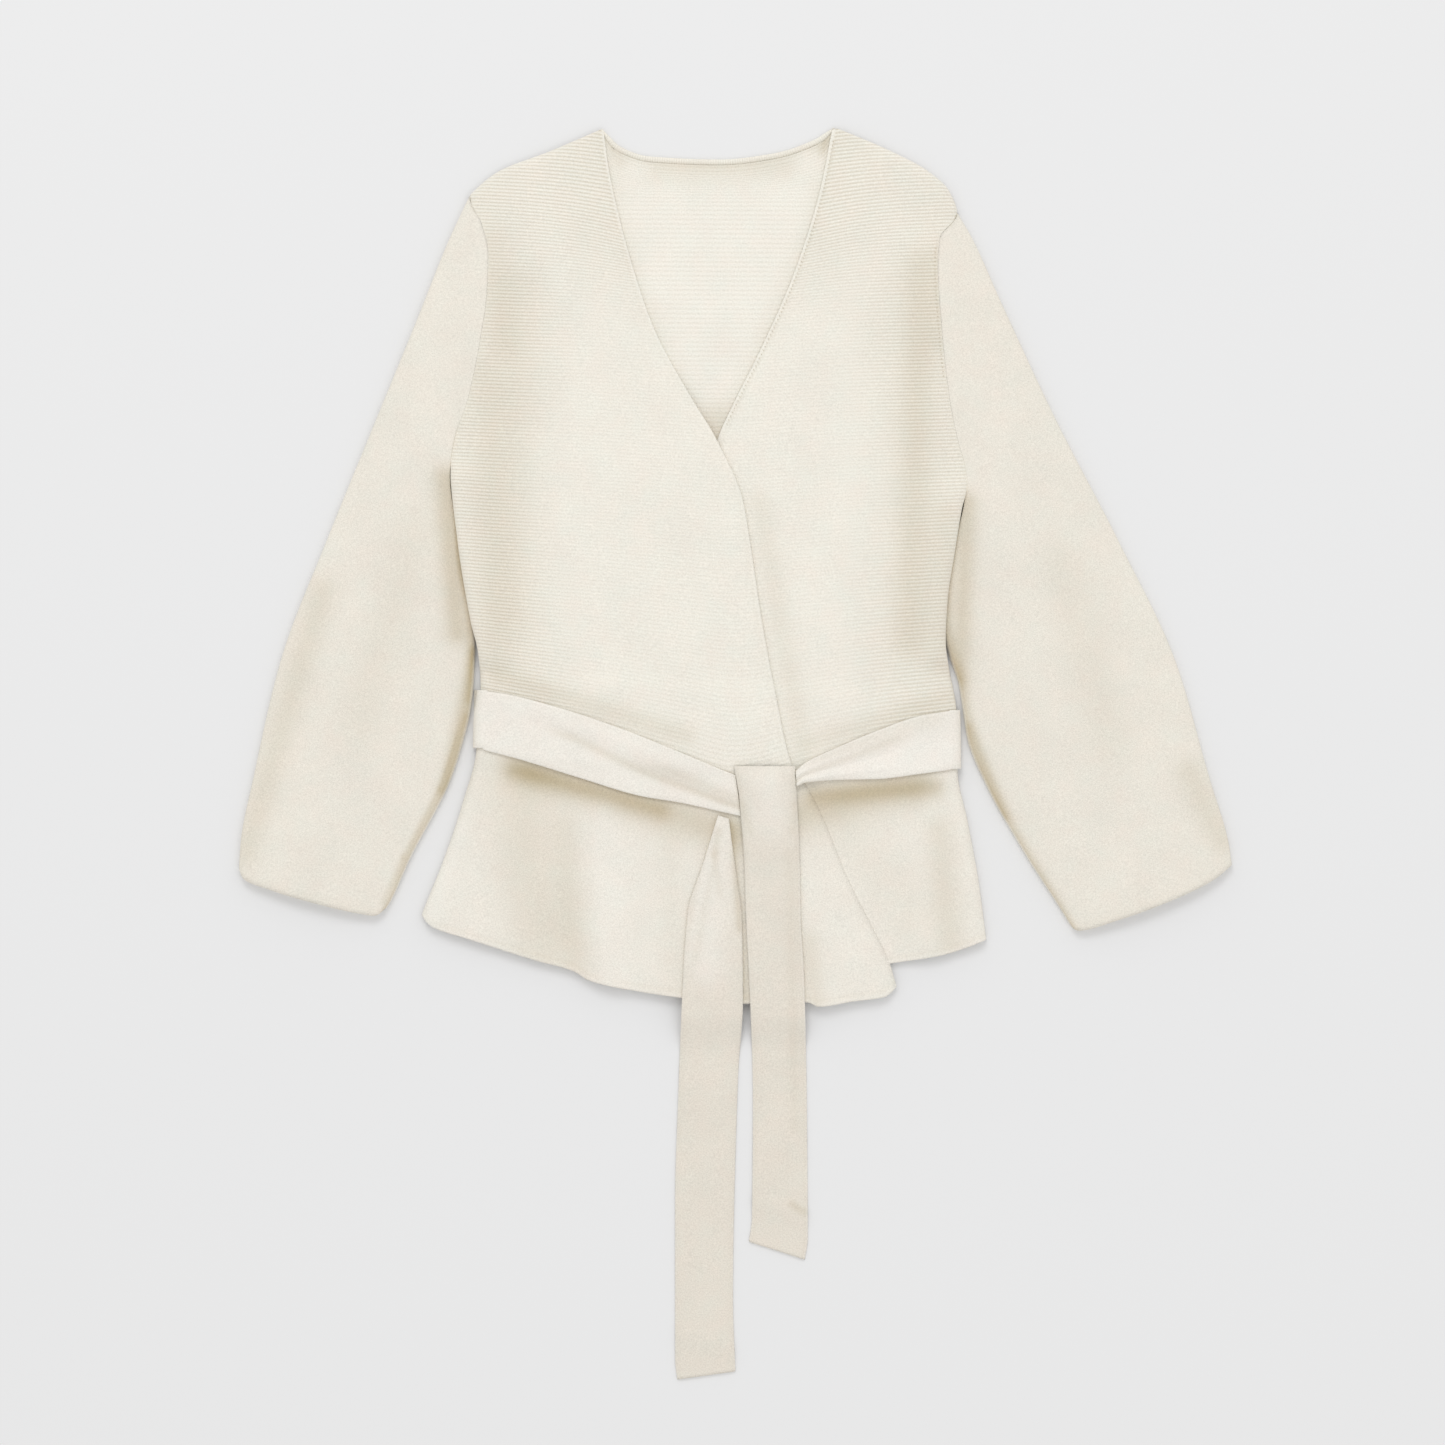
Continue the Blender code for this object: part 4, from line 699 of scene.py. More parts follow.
def front_piece(name, node, side_x, edge_x, corners, face, top_level, under):
    """A bodice front: rolled round the side fold, ribbed, and thinner along its free edge."""
    level = rib_rows(WAIST_LEVEL, top_level)[:, None]
    droop = NECK_DROOP * bell((level - NECK_DROOP_LEVEL) / NECK_DROOP_SPAN)
    start, own = meet(side_x, level), meet(edge_x, level)
    for _ in range(9):
        own = mix(own, edge_x(row_y(own, level) - droop), 0.8)
    side = -1.0 if under else 1.0
    width = np.abs(own - start)
    y_side = row_y(start, level)
    slope = (side_x(y_side + 1.0) - side_x(y_side - 1.0)) / 2.0
    reach = np.minimum(SIDE_ROUND * np.hypot(1.0, slope), 0.3 * width)
    fold = rolled(corners, y_side)
    turns = np.radians(np.linspace(0.0, 90.0, SIDE_TURNS))[None, :]
    shares = 1.0 - (1.0 - np.linspace(0.0, 1.0, FRONT_COLUMNS)[1:]) ** FRONT_CROWDING
    seam_gap = mix(SEAM_GAP, GAP / 2, fold)
    rolled_in = seam_gap + reach * (1.0 - np.cos(turns))
    insets = np.concatenate([rolled_in, reach + (width - reach) * shares], axis=1)
    turn = np.concatenate([turns, np.full((1, len(shares)), np.pi / 2)], axis=1)
    x = start + side * insets
    y = row_y(x, level) - droop * (insets / width) ** NECK_DROOP_POWER
    edge = np.maximum(width - insets, 0.0)
    plain_edge = 2.0 if under else 0.8
    ribbed = smooth((edge - plain_edge) / 1.6) * np.sin(turn) ** 0.7
    profile = rib_profile(level)
    strong = rib_strength(insets, y)
    deep = RIB_DEEP * mix(0.55, 1.0, strong)
    roll = 0.1 * bell((edge - 1.6) / 1.4)
    wall = WALL * mix(EDGE_THIN, 1.0, smooth(edge / EDGE_THIN_REACH))
    low = face(x, y)
    rim = back_base(x, y) + WALL + GAP
    upright = mix(1.0, np.sin(turn), fold)
    outer_z = mix(rim, low + wall + deep * profile * ribbed + roll, upright)
    shift = side * fold * np.minimum(WALL, 0.6 * reach) * np.cos(turn)
    inner_x = x + shift
    inner_z = mix(rim, low, upright)
    # Painted shade: darker in the rib grooves, more where the ribs stand out, along the sewn armhole seam
    # and in a line just inside the free edge; then the painted shade and highlight strokes.
    groove = (1.0 - profile) * ribbed
    seam = (1.0 - fold) * bell(insets / 3.0)
    shade_and_tone = 0.965 - mix(0.09, 0.40, strong) * groove - 0.07 * seam - 0.03 * bell((edge - 4.2) / 1.1)
    shade_and_tone = shade_and_tone - fold_height(SHADING_FRONT, x, y)
    piece = shell(name, stack(x, y, outer_z), stack(inner_x, y, inner_z), shade_and_tone, RIB, flip=under)
    return finish_piece(piece, (node,))


def rib_strength(insets, y):
    """1 where the ribs stand out, near the shoulders and the side, and 0 in the middle of a front: there
    the ribs are deeper and their grooves carry darker painted shade.
    """
    beside = smooth((95.0 - insets) / 70.0)
    above = smooth((y - 330.0) / 110.0)
    return np.maximum(beside * 0.9, above)


def finish_piece(piece, nodes):
    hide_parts(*nodes)
    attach(piece, "root")
    return piece


def back_piece():
    """The back lies flat, ribbed where it shows in the neck opening."""
    level = rib_rows(WAIST_LEVEL, TOP_LEVEL)[:, None]
    right = meet(body_right_x, np.minimum(level, BODY_RIGHT[4][1]), belt_back_y) + GAP
    left = meet(body_left_x, np.minimum(level, BODY_LEFT[4][1]), belt_back_y) - GAP
    share = np.linspace(0.0, 1.0, BACK_COLUMNS)[None, :]
    x = mix(right, left, share)
    y = row_y(x, level, belt_back_y)
    slope = (back_neck_y(x + 1.0) - back_neck_y(x - 1.0)) / 2.0
    neck = back_neck_y(x) - (NECK_BAND + 0.1) * np.hypot(1.0, slope)
    top = np.where(x < BACK_NECK[0][0], shoulder_right_y(x) - 1.0, neck)
    top = np.where(x > BACK_NECK[-1][0], shoulder_left_y(x) - 1.0, top)
    squeeze = smooth((level - BACK_SQUEEZE_LEVEL) / BACK_SQUEEZE_LENGTH)
    top_level = row_y(x, np.full_like(level, TOP_LEVEL), belt_back_y)
    climb = (y - BACK_SQUEEZE_LOW_Y) / np.maximum(top_level - BACK_SQUEEZE_LOW_Y, 1.0)
    y = np.minimum(y - squeeze * (top_level - top) * smooth(climb), top)
    base = back_base(x, y)
    shown = smooth((x - top_edge_x(y) + 6.0) / 4.0) * smooth((under_edge_x(y) + 6.0 - x) / 4.0)
    profile = rib_profile(level / BACK_RIB_SCALE)
    z = base + WALL + 0.6 * RIB_DEEP * profile * shown
    # Painted shade: in the rib grooves, the fronts' edges' shadow on the back, the shadow under the neck
    # roll, and the painted shade and highlight strokes.
    front_edge_shadow = bell((x - top_edge_x(y)) / 9.0) + bell((x - under_edge_x(y)) / 9.0)
    shade_and_tone = 1.0 - 0.11 * (1.0 - profile) - 0.07 * front_edge_shadow - 0.08 * bell((top - y) / 6.0)
    shade_and_tone = shade_and_tone - fold_height(SHADING_BACK, x, y)
    piece = shell("back_rib_panel", stack(x, y, z), stack(x, y, base), shade_and_tone, RIB)
    return finish_piece(piece, ("back",))


def neck_band_piece():
    """The doubled band along the back neck: a small roll with fine ribs across it."""
    run = path(BACK_NECK)
    share = np.linspace(0.01, 0.99, 240)
    spot, ahead, behind = run(share), run(np.minimum(share + 0.01, 1.0)), run(np.maximum(share - 0.01, 0.0))
    along = ahead - behind
    along = along / np.linalg.norm(along, axis=1, keepdims=True)
    out = np.stack([-along[:, 1], along[:, 0]], axis=1)
    angle = np.linspace(0.0, 2.0 * np.pi, 15)[:-1][None, :]
    swell = mix(0.55, 1.0, smooth(np.minimum(share, 1.0 - share) / 0.06))[:, None]
    ribs = np.cos(share * NECK_BAND_RIBS)[:, None]
    half = NECK_BAND / 2 * swell * (1.0 + 0.04 * ribs)
    centre_x = spot[:, :1] - out[:, :1] * NECK_BAND / 2
    centre_y = spot[:, 1:] - out[:, 1:] * NECK_BAND / 2
    x = centre_x + out[:, :1] * half * np.cos(angle)
    y = centre_y + out[:, 1:] * half * np.cos(angle)
    z = NECK_BAND_THICK / 2 * (1.0 + swell * np.sin(angle))
    # Painted shade on the roll's side towards the back panel and painted light on its far side, and painted
    # light and shade across its fine ribs.
    shade_and_tone = mix(0.78, 0.94, smooth(0.5 + 0.5 * np.cos(angle))) + 0.10 * ribs
    inner = stack(mix(x, centre_x, 0.5), mix(y, centre_y, 0.5), mix(z, NECK_BAND_THICK / 2, 0.5))
    piece = shell("back_neck_roll", stack(x, y, z), inner, shade_and_tone + 0 * x, RIB, wrap=True, flip=True)
    return finish_piece(piece, ("neck_band",))


def patch(side_run, edge_run, waist, hem_run, across, down):
    """A plan between a side, an edge, the waist and a hem, as arrays (rows, columns)."""
    side0, side1 = side_run(0.0), side_run(1.0)
    edge0, edge1 = edge_run(0.0), edge_run(1.0)
    across, down = across[..., None], down[..., None]
    top_x = mix(side0[0], edge0[0], across[..., 0])
    top = np.stack([top_x, waist(top_x) - GAP / 2], axis=-1)
    low = hem_run(across[..., 0])
    sides = mix(side_run(down[..., 0]), edge_run(down[..., 0]), across)
    spot = sides + mix(top, low, down) - mix(mix(side0, edge0, across), mix(side1, edge1, across), down)
    return spot[..., 0], spot[..., 1]


def lower_part(points, y):
    """An edge's points under a height."""
    return [point for point in points if point[1] < y - POINT_SPACING]


def peplum_piece(name, node, side_x, side_points, edge_x, hem_points, face, under):
    """A front's peplum, plain and fine, with a thin roll at its hem that carries a painted highlight and a
    painted shade line above it.
    """
    start = float(meet(side_x, WAIST_LEVEL))
    own = float(meet(edge_x, WAIST_LEVEL))
    shown = max(float(meet(top_edge_x, WAIST_LEVEL)), own + UNDER_LIP) if under else own
    edge_points = lower_part(TOP_EDGE, float(waist_y(shown)))
    if under:
        edge_points = edge_points[:-1]
    side_run = path([(start, float(waist_y(start)))] + side_points[1:])
    edge_run = path([(shown, float(waist_y(shown)))] + edge_points)
    hem_run = path(hem_points)
    down = np.linspace(0.0, 1.0, PEPLUM_ROWS)[:, None] ** 1.1
    turns = np.radians(np.linspace(0.0, 90.0, SIDE_TURNS))[None, :]
    flat_shares = np.linspace(0.0, 1.0, PEPLUM_COLUMNS)[1:][None, :]
    edge_end = patch(side_run, edge_run, waist_y, hem_run, np.ones_like(down), down)[0]
    side_end = patch(side_run, edge_run, waist_y, hem_run, np.zeros_like(down), down)[0]
    width = np.abs(edge_end - side_end)
    reach = SIDE_ROUND / width
    across = np.concatenate([reach * (1.0 - np.cos(turns)), reach + (1.0 - reach) * flat_shares], axis=1)
    turn = np.concatenate([turns + 0 * down, np.full((len(down), PEPLUM_COLUMNS - 1), np.pi / 2)], axis=1)
    full_down = down + 0 * across
    x, y = patch(side_run, edge_run, waist_y, hem_run, across, full_down)
    inner_across = across + np.cos(turn) * WALL / width
    inner_x, inner_y = patch(side_run, edge_run, waist_y, hem_run, inner_across, full_down)
    if under:
        own_run = path([(own, float(waist_y(own)))] + lower_part(UNDER_EDGE, float(waist_y(own))))
        hidden = np.linspace(0.0, 1.0, HIDDEN_COLUMNS + 1)[1:][None, :, None]
        far = own_run(down[:, 0])[:, None, :]
        near = np.stack([x[:, -1], y[:, -1]], axis=-1)[:, None, :]
        more = mix(near, far, hidden)
        x, y = np.concatenate([x, more[..., 0]], axis=1), np.concatenate([y, more[..., 1]], axis=1)
        inner_x = np.concatenate([inner_x, more[..., 0]], axis=1)
        inner_y = np.concatenate([inner_y, more[..., 1]], axis=1)
        turn = np.concatenate([turn, np.full(more.shape[:2], np.pi / 2)], axis=1)
    low = face(x, y)
    thin = WALL
    if not under:
        from_edge = smooth((1.0 - across) * width / PEPLUM_EDGE_REACH)
        low = low - (1.0 - from_edge) * PEPLUM_EDGE_SINK
        thin = WALL * mix(PEPLUM_EDGE_THIN, 1.0, from_edge)
    rim = back_base(x, y) + WALL + GAP
    hem = (1.0 - down) * PEPLUM_DROP + 0 * x
    roll = 0.5 * bell((hem - 1.5) / 1.5)
    outer_z = mix(rim, low + thin + roll, np.sin(turn))
    inner_z = mix(rim, np.minimum(face(inner_x, inner_y), low), np.sin(turn))
    # A painted shade line above the hem roll and a painted highlight on the roll.
    shade_and_tone = 0.97 - 0.05 * bell((hem - 4.5) / 1.4) + 0.05 * bell(hem / 1.6)
    # Painted shadow under the belt, fading towards the sides, then the painted shade and highlight strokes.
    belt_shadow_span = smooth((x + 200.0) / 40.0) * smooth((172.0 - x) / 30.0)
    shade_and_tone = shade_and_tone - 0.32 * bell((y - waist_y(x) + 30.0) / 18.0) * belt_shadow_span - fold_height(SHADING_PEPLUM, x, y)
    piece = shell(name, stack(x, y, outer_z), stack(inner_x, inner_y, inner_z), shade_and_tone, PLAIN, flip=under)
    return finish_piece(piece, (node,))


def back_peplum_piece():
    """The back's plain lower part."""
    right = float(meet(body_right_x, WAIST_LEVEL, belt_back_y))
    left = float(meet(body_left_x, WAIST_LEVEL, belt_back_y))
    side_run = path([(right, float(belt_back_y(right)))] + PEPLUM_SIDE_RIGHT[1:])
    edge_run = path([(left, float(belt_back_y(left)))] + PEPLUM_SIDE_LEFT[1:])
    down = np.linspace(0.0, 1.0, BACK_PEPLUM_ROWS)[:, None]
    across = np.linspace(0.002, 0.998, BACK_PEPLUM_COLUMNS)[None, :]
    across, down = np.broadcast_arrays(across, down)
    x, y = patch(side_run, edge_run, belt_back_y, path(HEM_BACK), across, down)
    base = back_base(x, y)
    # Darker overall than the fronts, with a painted shade line just inside the hem.
    shade_and_tone = 0.85 - 0.05 * bell(((1.0 - down) * PEPLUM_DROP - 4.0) / 1.6)
    piece = shell("back_peplum_panel", stack(x, y, base + WALL), stack(x, y, base), shade_and_tone, PLAIN)
    return finish_piece(piece, ("peplum_back",))


def sleeve_piece(name, node, edges, armhole_x, corners, body_face, folds, shades_and_tones):
    """A wide open tube, flat on the floor, from the armhole seam to the cuff."""
    outer_run, inner_run, cuff_run = [path(points) for points in edges]
    outer0, outer1, inner0, inner1 = outer_run(0.0), outer_run(1.0), inner_run(0.0), inner_run(1.0)
    side = -1 if outer1[0] < 0 else 1

    def plan(across, down):
        y = mix(corners.shoulder_y, corners.underarm_y, across)
        share, turn = across[..., None], down[..., None]
        armhole = np.stack([armhole_x(y), y], axis=-1) - mix(outer0, inner0, share)
        cuff = cuff_run(across) - mix(outer1, inner1, share)
        spot = mix(outer_run(down), inner_run(down**1.5), share)
        spot = spot + armhole * (1.0 - turn) ** 4 + cuff * turn**6
        spot[..., 0] += side * SEAM_GAP * (1.0 - down)
        return spot[..., 0], spot[..., 1]

    def height(across, down, x, y):
        dome = (4.0 * across * (1.0 - across)) ** 0.8
        free = SLEEVE_EDGE + dome * (SLEEVE_DOME + fold_height(folds, x, y))
        sewn = mix(SLEEVE_EDGE, body_face(x, y) + WALL, smooth(dome * 2.5))
        return mix(sewn, free, smooth(down / SLEEVE_SEWN_SHARE))

    down = np.linspace(0.0, 1.0, SLEEVE_ROWS)[:, None]
    ends = {}
    for end in (0.0, 1.0):
        full = np.full_like(down, end)
        here, beyond = plan(full, down), plan(full, down + np.where(down < 0.5, 0.01, -0.01))
        ones, zeros = plan(np.ones_like(down), down), plan(np.zeros_like(down), down)
        row = (ones[0] - zeros[0], ones[1] - zeros[1])
        edge = (beyond[0] - here[0], beyond[1] - here[1])
        length = np.hypot(*row)
        cross = np.abs(row[0] * edge[1] - row[1] * edge[0]) / (length * np.hypot(*edge))
        ends[end] = 1.0 / (np.maximum(cross, 0.5) * length)

    def ring(thin):
        xs, ys, zs = [], [], []
        for kind, values in (
            ("outer", np.radians(np.linspace(-90.0, 90.0, SLEEVE_TURNS))),
            ("top", np.linspace(0.0, 1.0, SLEEVE_TOP_COLUMNS + 2)[1:-1]),
            ("inner", np.radians(np.linspace(90.0, -90.0, SLEEVE_TURNS))),
            ("floor", np.linspace(0.94, 0.06, SLEEVE_FLOOR_COLUMNS)),
        ):
            values = values[None, :]
            if kind in ("top", "floor"):
                low, high = ends[0.0] * SLEEVE_ROUND * 1.2, 1.0 - ends[1.0] * SLEEVE_ROUND * 1.2
                across = mix(low, high, values)
                depth = down + 0 * across
                x, y = plan(across, depth)
                z = height(across, depth, x, y) - thin if kind == "top" else thin + 0 * x
            else:
                end = 0.0 if kind == "outer" else 1.0
                inset = ends[end] * (thin + (SLEEVE_ROUND - thin) * (1.0 - np.cos(values)))
                across = np.abs(end - inset)
                depth = down + 0 * across
                x, y = plan(across, depth)
                level = np.abs(end - ends[end] * SLEEVE_ROUND)
                half = height(level, down, *plan(level, down)) / 2.0
                z = half + (half - thin) * np.sin(values)
            xs.append(x)
            ys.append(y)
            zs.append(z)
        return stack(np.concatenate(xs, 1), np.concatenate(ys, 1), np.concatenate(zs, 1))

    outer, inner = ring(0.0), ring(WALL)
    length = np.hypot(outer1[0] - outer0[0], outer1[1] - outer0[1])
    cuff = (1.0 - down) * length + 0 * outer[..., 0]
    # A painted shade line just inside the cuff, then painted shade and highlight strokes: the body's shadow
    # on the sleeve, fold troughs and thin lines along the underarm seam.
    shade_and_tone = 0.92 - 0.05 * bell((cuff - 5.0) / 1.8) - fold_height(shades_and_tones, outer[..., 0], outer[..., 1])
    # Painted shade along the inner fold, where the sleeve goes under the body's side.
    first_inner = SLEEVE_TURNS + SLEEVE_TOP_COLUMNS
    inner_edge = (np.arange(outer.shape[1])[None, :] - (first_inner + 1)) / 2.2
    shade_and_tone = shade_and_tone - 0.35 * bell(inner_edge) * smooth((down - 0.1) / 0.1)
    piece = shell(name, outer, inner, shade_and_tone, PLAIN, wrap=True, flip=side > 0)
    return finish_piece(piece, (node,))


def belt_rim(place):
    """How much a belt's face falls off at its edges, from -1 to 1 across it."""
    return 0.5 * BELT_WALL * (1.0 - np.sqrt(np.clip(1.0 - np.abs(place) ** BELT_EDGE_POWER, 0.0, 1.0)))


def strip(name, nodes, x, y, low, shade_and_tone):
    """A length of belt as a grid (rows along it, columns across it) with rounded edges."""
    rim = belt_rim(np.linspace(-1.0, 1.0, x.shape[1])[None, :])
    outer = stack(x, y, low + BELT_WALL - rim)
    inner = stack(x, y, low + rim * 0.6)
    return finish_piece(shell(name, outer, inner, shade_and_tone, BELT), nodes)


def belt_front_piece(name, node, upper_points, lower_points, side_x, knot_x, side, pleats, shades_and_tones):
    """A front stretch: it rises round the side fold, and runs over the body to the knot."""
    upper_run, lower_run = path(upper_points), path(lower_points)
    across = np.linspace(0.0, 1.0, BELT_FRONT_COLUMNS)[None, :]
    turns = np.concatenate([[0.0], np.radians(np.linspace(0.0, 80.0, WRAP_STEPS))])
    shares = mix(FOLD_SHARE, 1.0, np.linspace(0.0, 1.0, BELT_FRONT_ROWS))
    share = np.concatenate([np.zeros(len(turns)), shares])[:, None]
    turn = np.concatenate([turns, np.full(len(shares), np.pi / 2)])[:, None]
    wrap = np.arange(len(share))[:, None] < len(turns)
    first = np.arange(len(share))[:, None] == 0
    upper, lower = upper_run(share[:, 0]), lower_run(share[:, 0])
    x = mix(upper[:, :1], lower[:, :1], across)
    y = mix(upper[:, 1:], lower[:, 1:], across)
    x = x + (knot_x(y) - side * GAP / 3 - x[-1:]) * share**KNOT_BEND_POWER
    fold = fold_height(pleats, share, across)
    place = np.abs(2.0 * across - 1.0)
    rim = belt_rim(place)
    faces = []
    for thick, cut in ((BELT_WALL, rim), (0.0, -0.4 * rim)):
        inset = SIDE_ROUND * (1.0 - np.cos(turn)) - (WRAP_CLEAR + thick) * np.cos(turn)
        wrapped = side_x(y) + side * inset
        flat = x + (side_x(y) + side * SIDE_ROUND - x[len(turns)]) * (1.0 - share) ** 8
        place_x = np.where(wrap, wrapped, flat)
        full = deck(place_x, y) + BELT_CLEAR + thick + fold - cut
        base = np.where(first, BELT_WALL + GAP, BELT_WALL + 2 * GAP + WALL)
        faces.append(stack(place_x, y, mix(base, full, np.sin(turn))))
    # A painted shade line inside each edge and a painted highlight on the edge, then painted shade and
    # highlight along the creases.
    shade_and_tone = 0.97 - 0.04 * bell((place - 0.9) / 0.05) + 0.06 * bell((place - 1.0) / 0.06)
    shade_and_tone = shade_and_tone + 0 * x - fold_height(shades_and_tones, share, across)
    piece = shell(name, faces[0], faces[1], shade_and_tone, BELT, flip=side < 0)
    return finish_piece(piece, (node,))


def belt_back_piece():
    """The stretch that passes under the back."""
    start, end = BELT_BACK_Y
    reach = BELT_WALL + WRAP_CLEAR
    x = np.linspace(start[0] - reach, end[0] + reach, 60)[:, None]
    across = np.linspace(-1.0, 1.0, 21)[None, :]
    y = belt_back_y(x) - across * BELT_WIDTH / 2
    # Darker overall than the front stretches, with a painted shade line inside each edge.
    shade_and_tone = 0.85 - 0.05 * bell((np.abs(across) - 0.9) / 0.05) + 0 * x
    return strip("belt_back_stretch", ("belt_back",), x + 0 * across, y, 0.0 * x, shade_and_tone)


def tail_floor(x, y):
    """The body's upper face, then a soft drop to the floor beyond the hem."""
    held = smooth((y - TAIL_DROP_START + TAIL_DROP_LENGTH) / TAIL_DROP_LENGTH)
    return (deck(x, np.maximum(y, TAIL_DROP_START + TAIL_HEM_MARGIN)) + TAIL_CLEAR) * held


def crown(across):
    """How a strip that stands up in an arch comes down at its two edges."""
    return np.sin(np.pi * across) ** CROWN_POWER


def knot_rise(run):
    """The knot's height over the layer under it, from its top (0) down to the tail (1)."""
    rise = mix(KNOT_TUCK, KNOT_HEIGHT, np.sin(np.pi / 2 * np.clip(run / KNOT_RISE_SHARE, 0.0, 1.0)))
    fall = mix(KNOT_HEIGHT, KNOT_EXIT, smooth((run - KNOT_RISE_SHARE) / (1.0 - KNOT_RISE_SHARE)))
    return np.where(run < KNOT_RISE_SHARE, rise, fall)


def strip_grid(right_x, left_x, top_ys, low_ys, shares, columns):
    """A strip between two edges given by y; each end runs between two heights."""
    across = np.linspace(0.0, 1.0, columns)[None, :]
    share = shares[:, None]
    y = mix(mix(top_ys[0], top_ys[1], across), mix(low_ys[0], low_ys[1], across), share)
    return mix(right_x(y), left_x(y), across), y, across + 0 * y


def tail_shade_and_tone(across, x, y, shades_and_tones):
    """A tail's painted shading: darker overall, a painted shade line inside each edge, a painted highlight
    on the edge, and its painted shade and highlight strokes.
    """
    place = np.abs(2.0 * across - 1.0)
    shade_and_tone = 0.80 - 0.04 * bell((place - 0.9) / 0.045) + 0.07 * bell((place - 1.0) / 0.06)
    return shade_and_tone - fold_height(shades_and_tones, x, y)


def knot_and_tail_piece():
    """The strip that comes over the knot, down over the peplum's hem and on along the floor."""
    shares = np.concatenate([np.linspace(0.0, 0.16, 70), np.linspace(0.16, 1.0, 151)[1:]])
    tops = (KNOT_TOP_Y, KNOT_TOP_Y)
    ends = (TAIL_FRONT_RIGHT_EDGE[-1][1], TAIL_FRONT_LEFT_EDGE[-1][1])
    x, y, across = strip_grid(tail_front_right_x, tail_front_left_x, tops, ends, shares, 45)
    run = (KNOT_TOP_Y - y) / (KNOT_TOP_Y - KNOT_END_Y)
    join = smooth(1.0 - (KNOT_END_Y - y) / KNOT_JOIN_LENGTH)
    rise = np.where(run < 1.0, knot_rise(run), KNOT_EXIT * join) + fold_height(PLEATS_KNOT, across, run)
    low = tail_floor(x, y) + rise * crown(across) + fold_height(WAVES_TAIL_FRONT, x, y)
    # Painted shade and highlight along the tail and over the knot.
    shade_and_tone = tail_shade_and_tone(across, x, y, SHADING_TAIL_FRONT) - fold_height(SHADING_KNOT, across, run)
    return strip("belt_knot_and_tail", ("belt_knot", "belt_tail_front"), x, y, low, shade_and_tone)


def tail_back_piece():
    """The tail that leaves below the wearer's right stretch."""
    tops = (TAIL_BACK_RIGHT_EDGE[0][1], TAIL_BACK_LEFT_EDGE[0][1])
    ends = (TAIL_BACK_RIGHT_EDGE[-1][1], TAIL_BACK_LEFT_EDGE[-1][1])
    shares = np.linspace(0.0, 1.0, 170)
    x, y, across = strip_grid(tail_back_right_x, tail_back_left_x, tops, ends, shares, 29)
    low = tail_floor(x, y) + fold_height(WAVES_TAIL_BACK, x, y)
    shade_and_tone = tail_shade_and_tone(across, x, y, SHADING_TAIL_BACK)
    return strip("belt_tail_lower", ("belt_tail_back",), x, y, low, shade_and_tone)


def stitches(name, x, y, z, size):
    """A row of small raised stitches along a line of points on the ribbed cloth."""
    ring = np.array([(1, 0, 0), (0, 1, 0), (-1, 0, 0), (0, -1, 0)], float)
    points, faces = [], []
    for spot in np.stack([x, y, z], axis=-1):
        first = len(points)
        for lift, grow in ((-0.2, 1.0), (0.35, 0.9), (0.6, 0.35)):
            points += [spot + ring[k] * size * grow + (0, 0, lift) for k in range(4)]
        for layer in range(2):
            for k in range(4):
                a, b = first + layer * 4 + k, first + layer * 4 + (k + 1) % 4
                faces.append((a, b, b + 4, a + 4))
        faces.append(tuple(first + 8 + k for k in range(4)))
        faces.append(tuple(first + 3 - k for k in range(4)))
    made = make_piece(name, np.array(points), faces, np.full(len(points), STITCH_TONE), RIB)
    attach(made, "root")


# Each cloth: its own colour, the warm shadow colour that its painted shade mixes towards, and the scale of
# its loops.
RIB = knit_material("rib_knit_cloth", (0.892, 0.864, 0.802), (0.42, 0.33, 0.18), 620.0)
PLAIN = knit_material("plain_knit_cloth", (0.866, 0.832, 0.772), (0.38, 0.275, 0.10), 760.0)
BELT = knit_material("belt_knit_cloth", (0.885, 0.85, 0.80), (0.38, 0.275, 0.115), 760.0)

back = back_piece()
neck_roll = neck_band_piece()
front_right = front_piece(
    "front_right_rib", "front_right", body_right_x, top_edge_x, RIGHT_CORNERS, top_front_face,
    RIGHT_TOP_LEVEL, False,
)
front_left = front_piece(
    "front_left_rib", "front_left", body_left_x, under_edge_x, LEFT_CORNERS, under_front_face,
    LEFT_TOP_LEVEL, True,
)
peplum_back = back_peplum_piece()
peplum_right = peplum_piece(
    "peplum_right_panel", "peplum_front_right", body_right_x, PEPLUM_SIDE_RIGHT, top_edge_x, HEM_TOP,
    top_front_face, False,
)
peplum_left = peplum_piece(
    "peplum_left_panel", "peplum_front_left", body_left_x, PEPLUM_SIDE_LEFT, under_edge_x, HEM_UNDER,
    under_front_face, True,
)
sleeve_right = sleeve_piece(
    "sleeve_right_tube", "sleeve_right", (SLEEVE_RIGHT_OUTER, SLEEVE_RIGHT_INNER, SLEEVE_RIGHT_CUFF),
    body_right_x, RIGHT_CORNERS, top_front_face, FOLDS_SLEEVE_RIGHT, SHADING_SLEEVE_RIGHT,
)
sleeve_left = sleeve_piece(
    "sleeve_left_tube", "sleeve_left", (SLEEVE_LEFT_OUTER, SLEEVE_LEFT_INNER, SLEEVE_LEFT_CUFF),
    body_left_x, LEFT_CORNERS, under_front_face, FOLDS_SLEEVE_LEFT, SHADING_SLEEVE_LEFT,
)
belt_right = belt_front_piece(
    "belt_right_stretch", "belt_front_right", BELT_RIGHT_UPPER, BELT_RIGHT_LOWER, side_right_x,
    tail_front_right_x, 1, PLEATS_RIGHT, SHADING_BELT_RIGHT,
)
belt_left = belt_front_piece(
    "belt_left_stretch", "belt_front_left", BELT_LEFT_UPPER, BELT_LEFT_LOWER, side_left_x,
    tail_front_left_x, -1, PLEATS_LEFT, SHADING_BELT_LEFT,
)
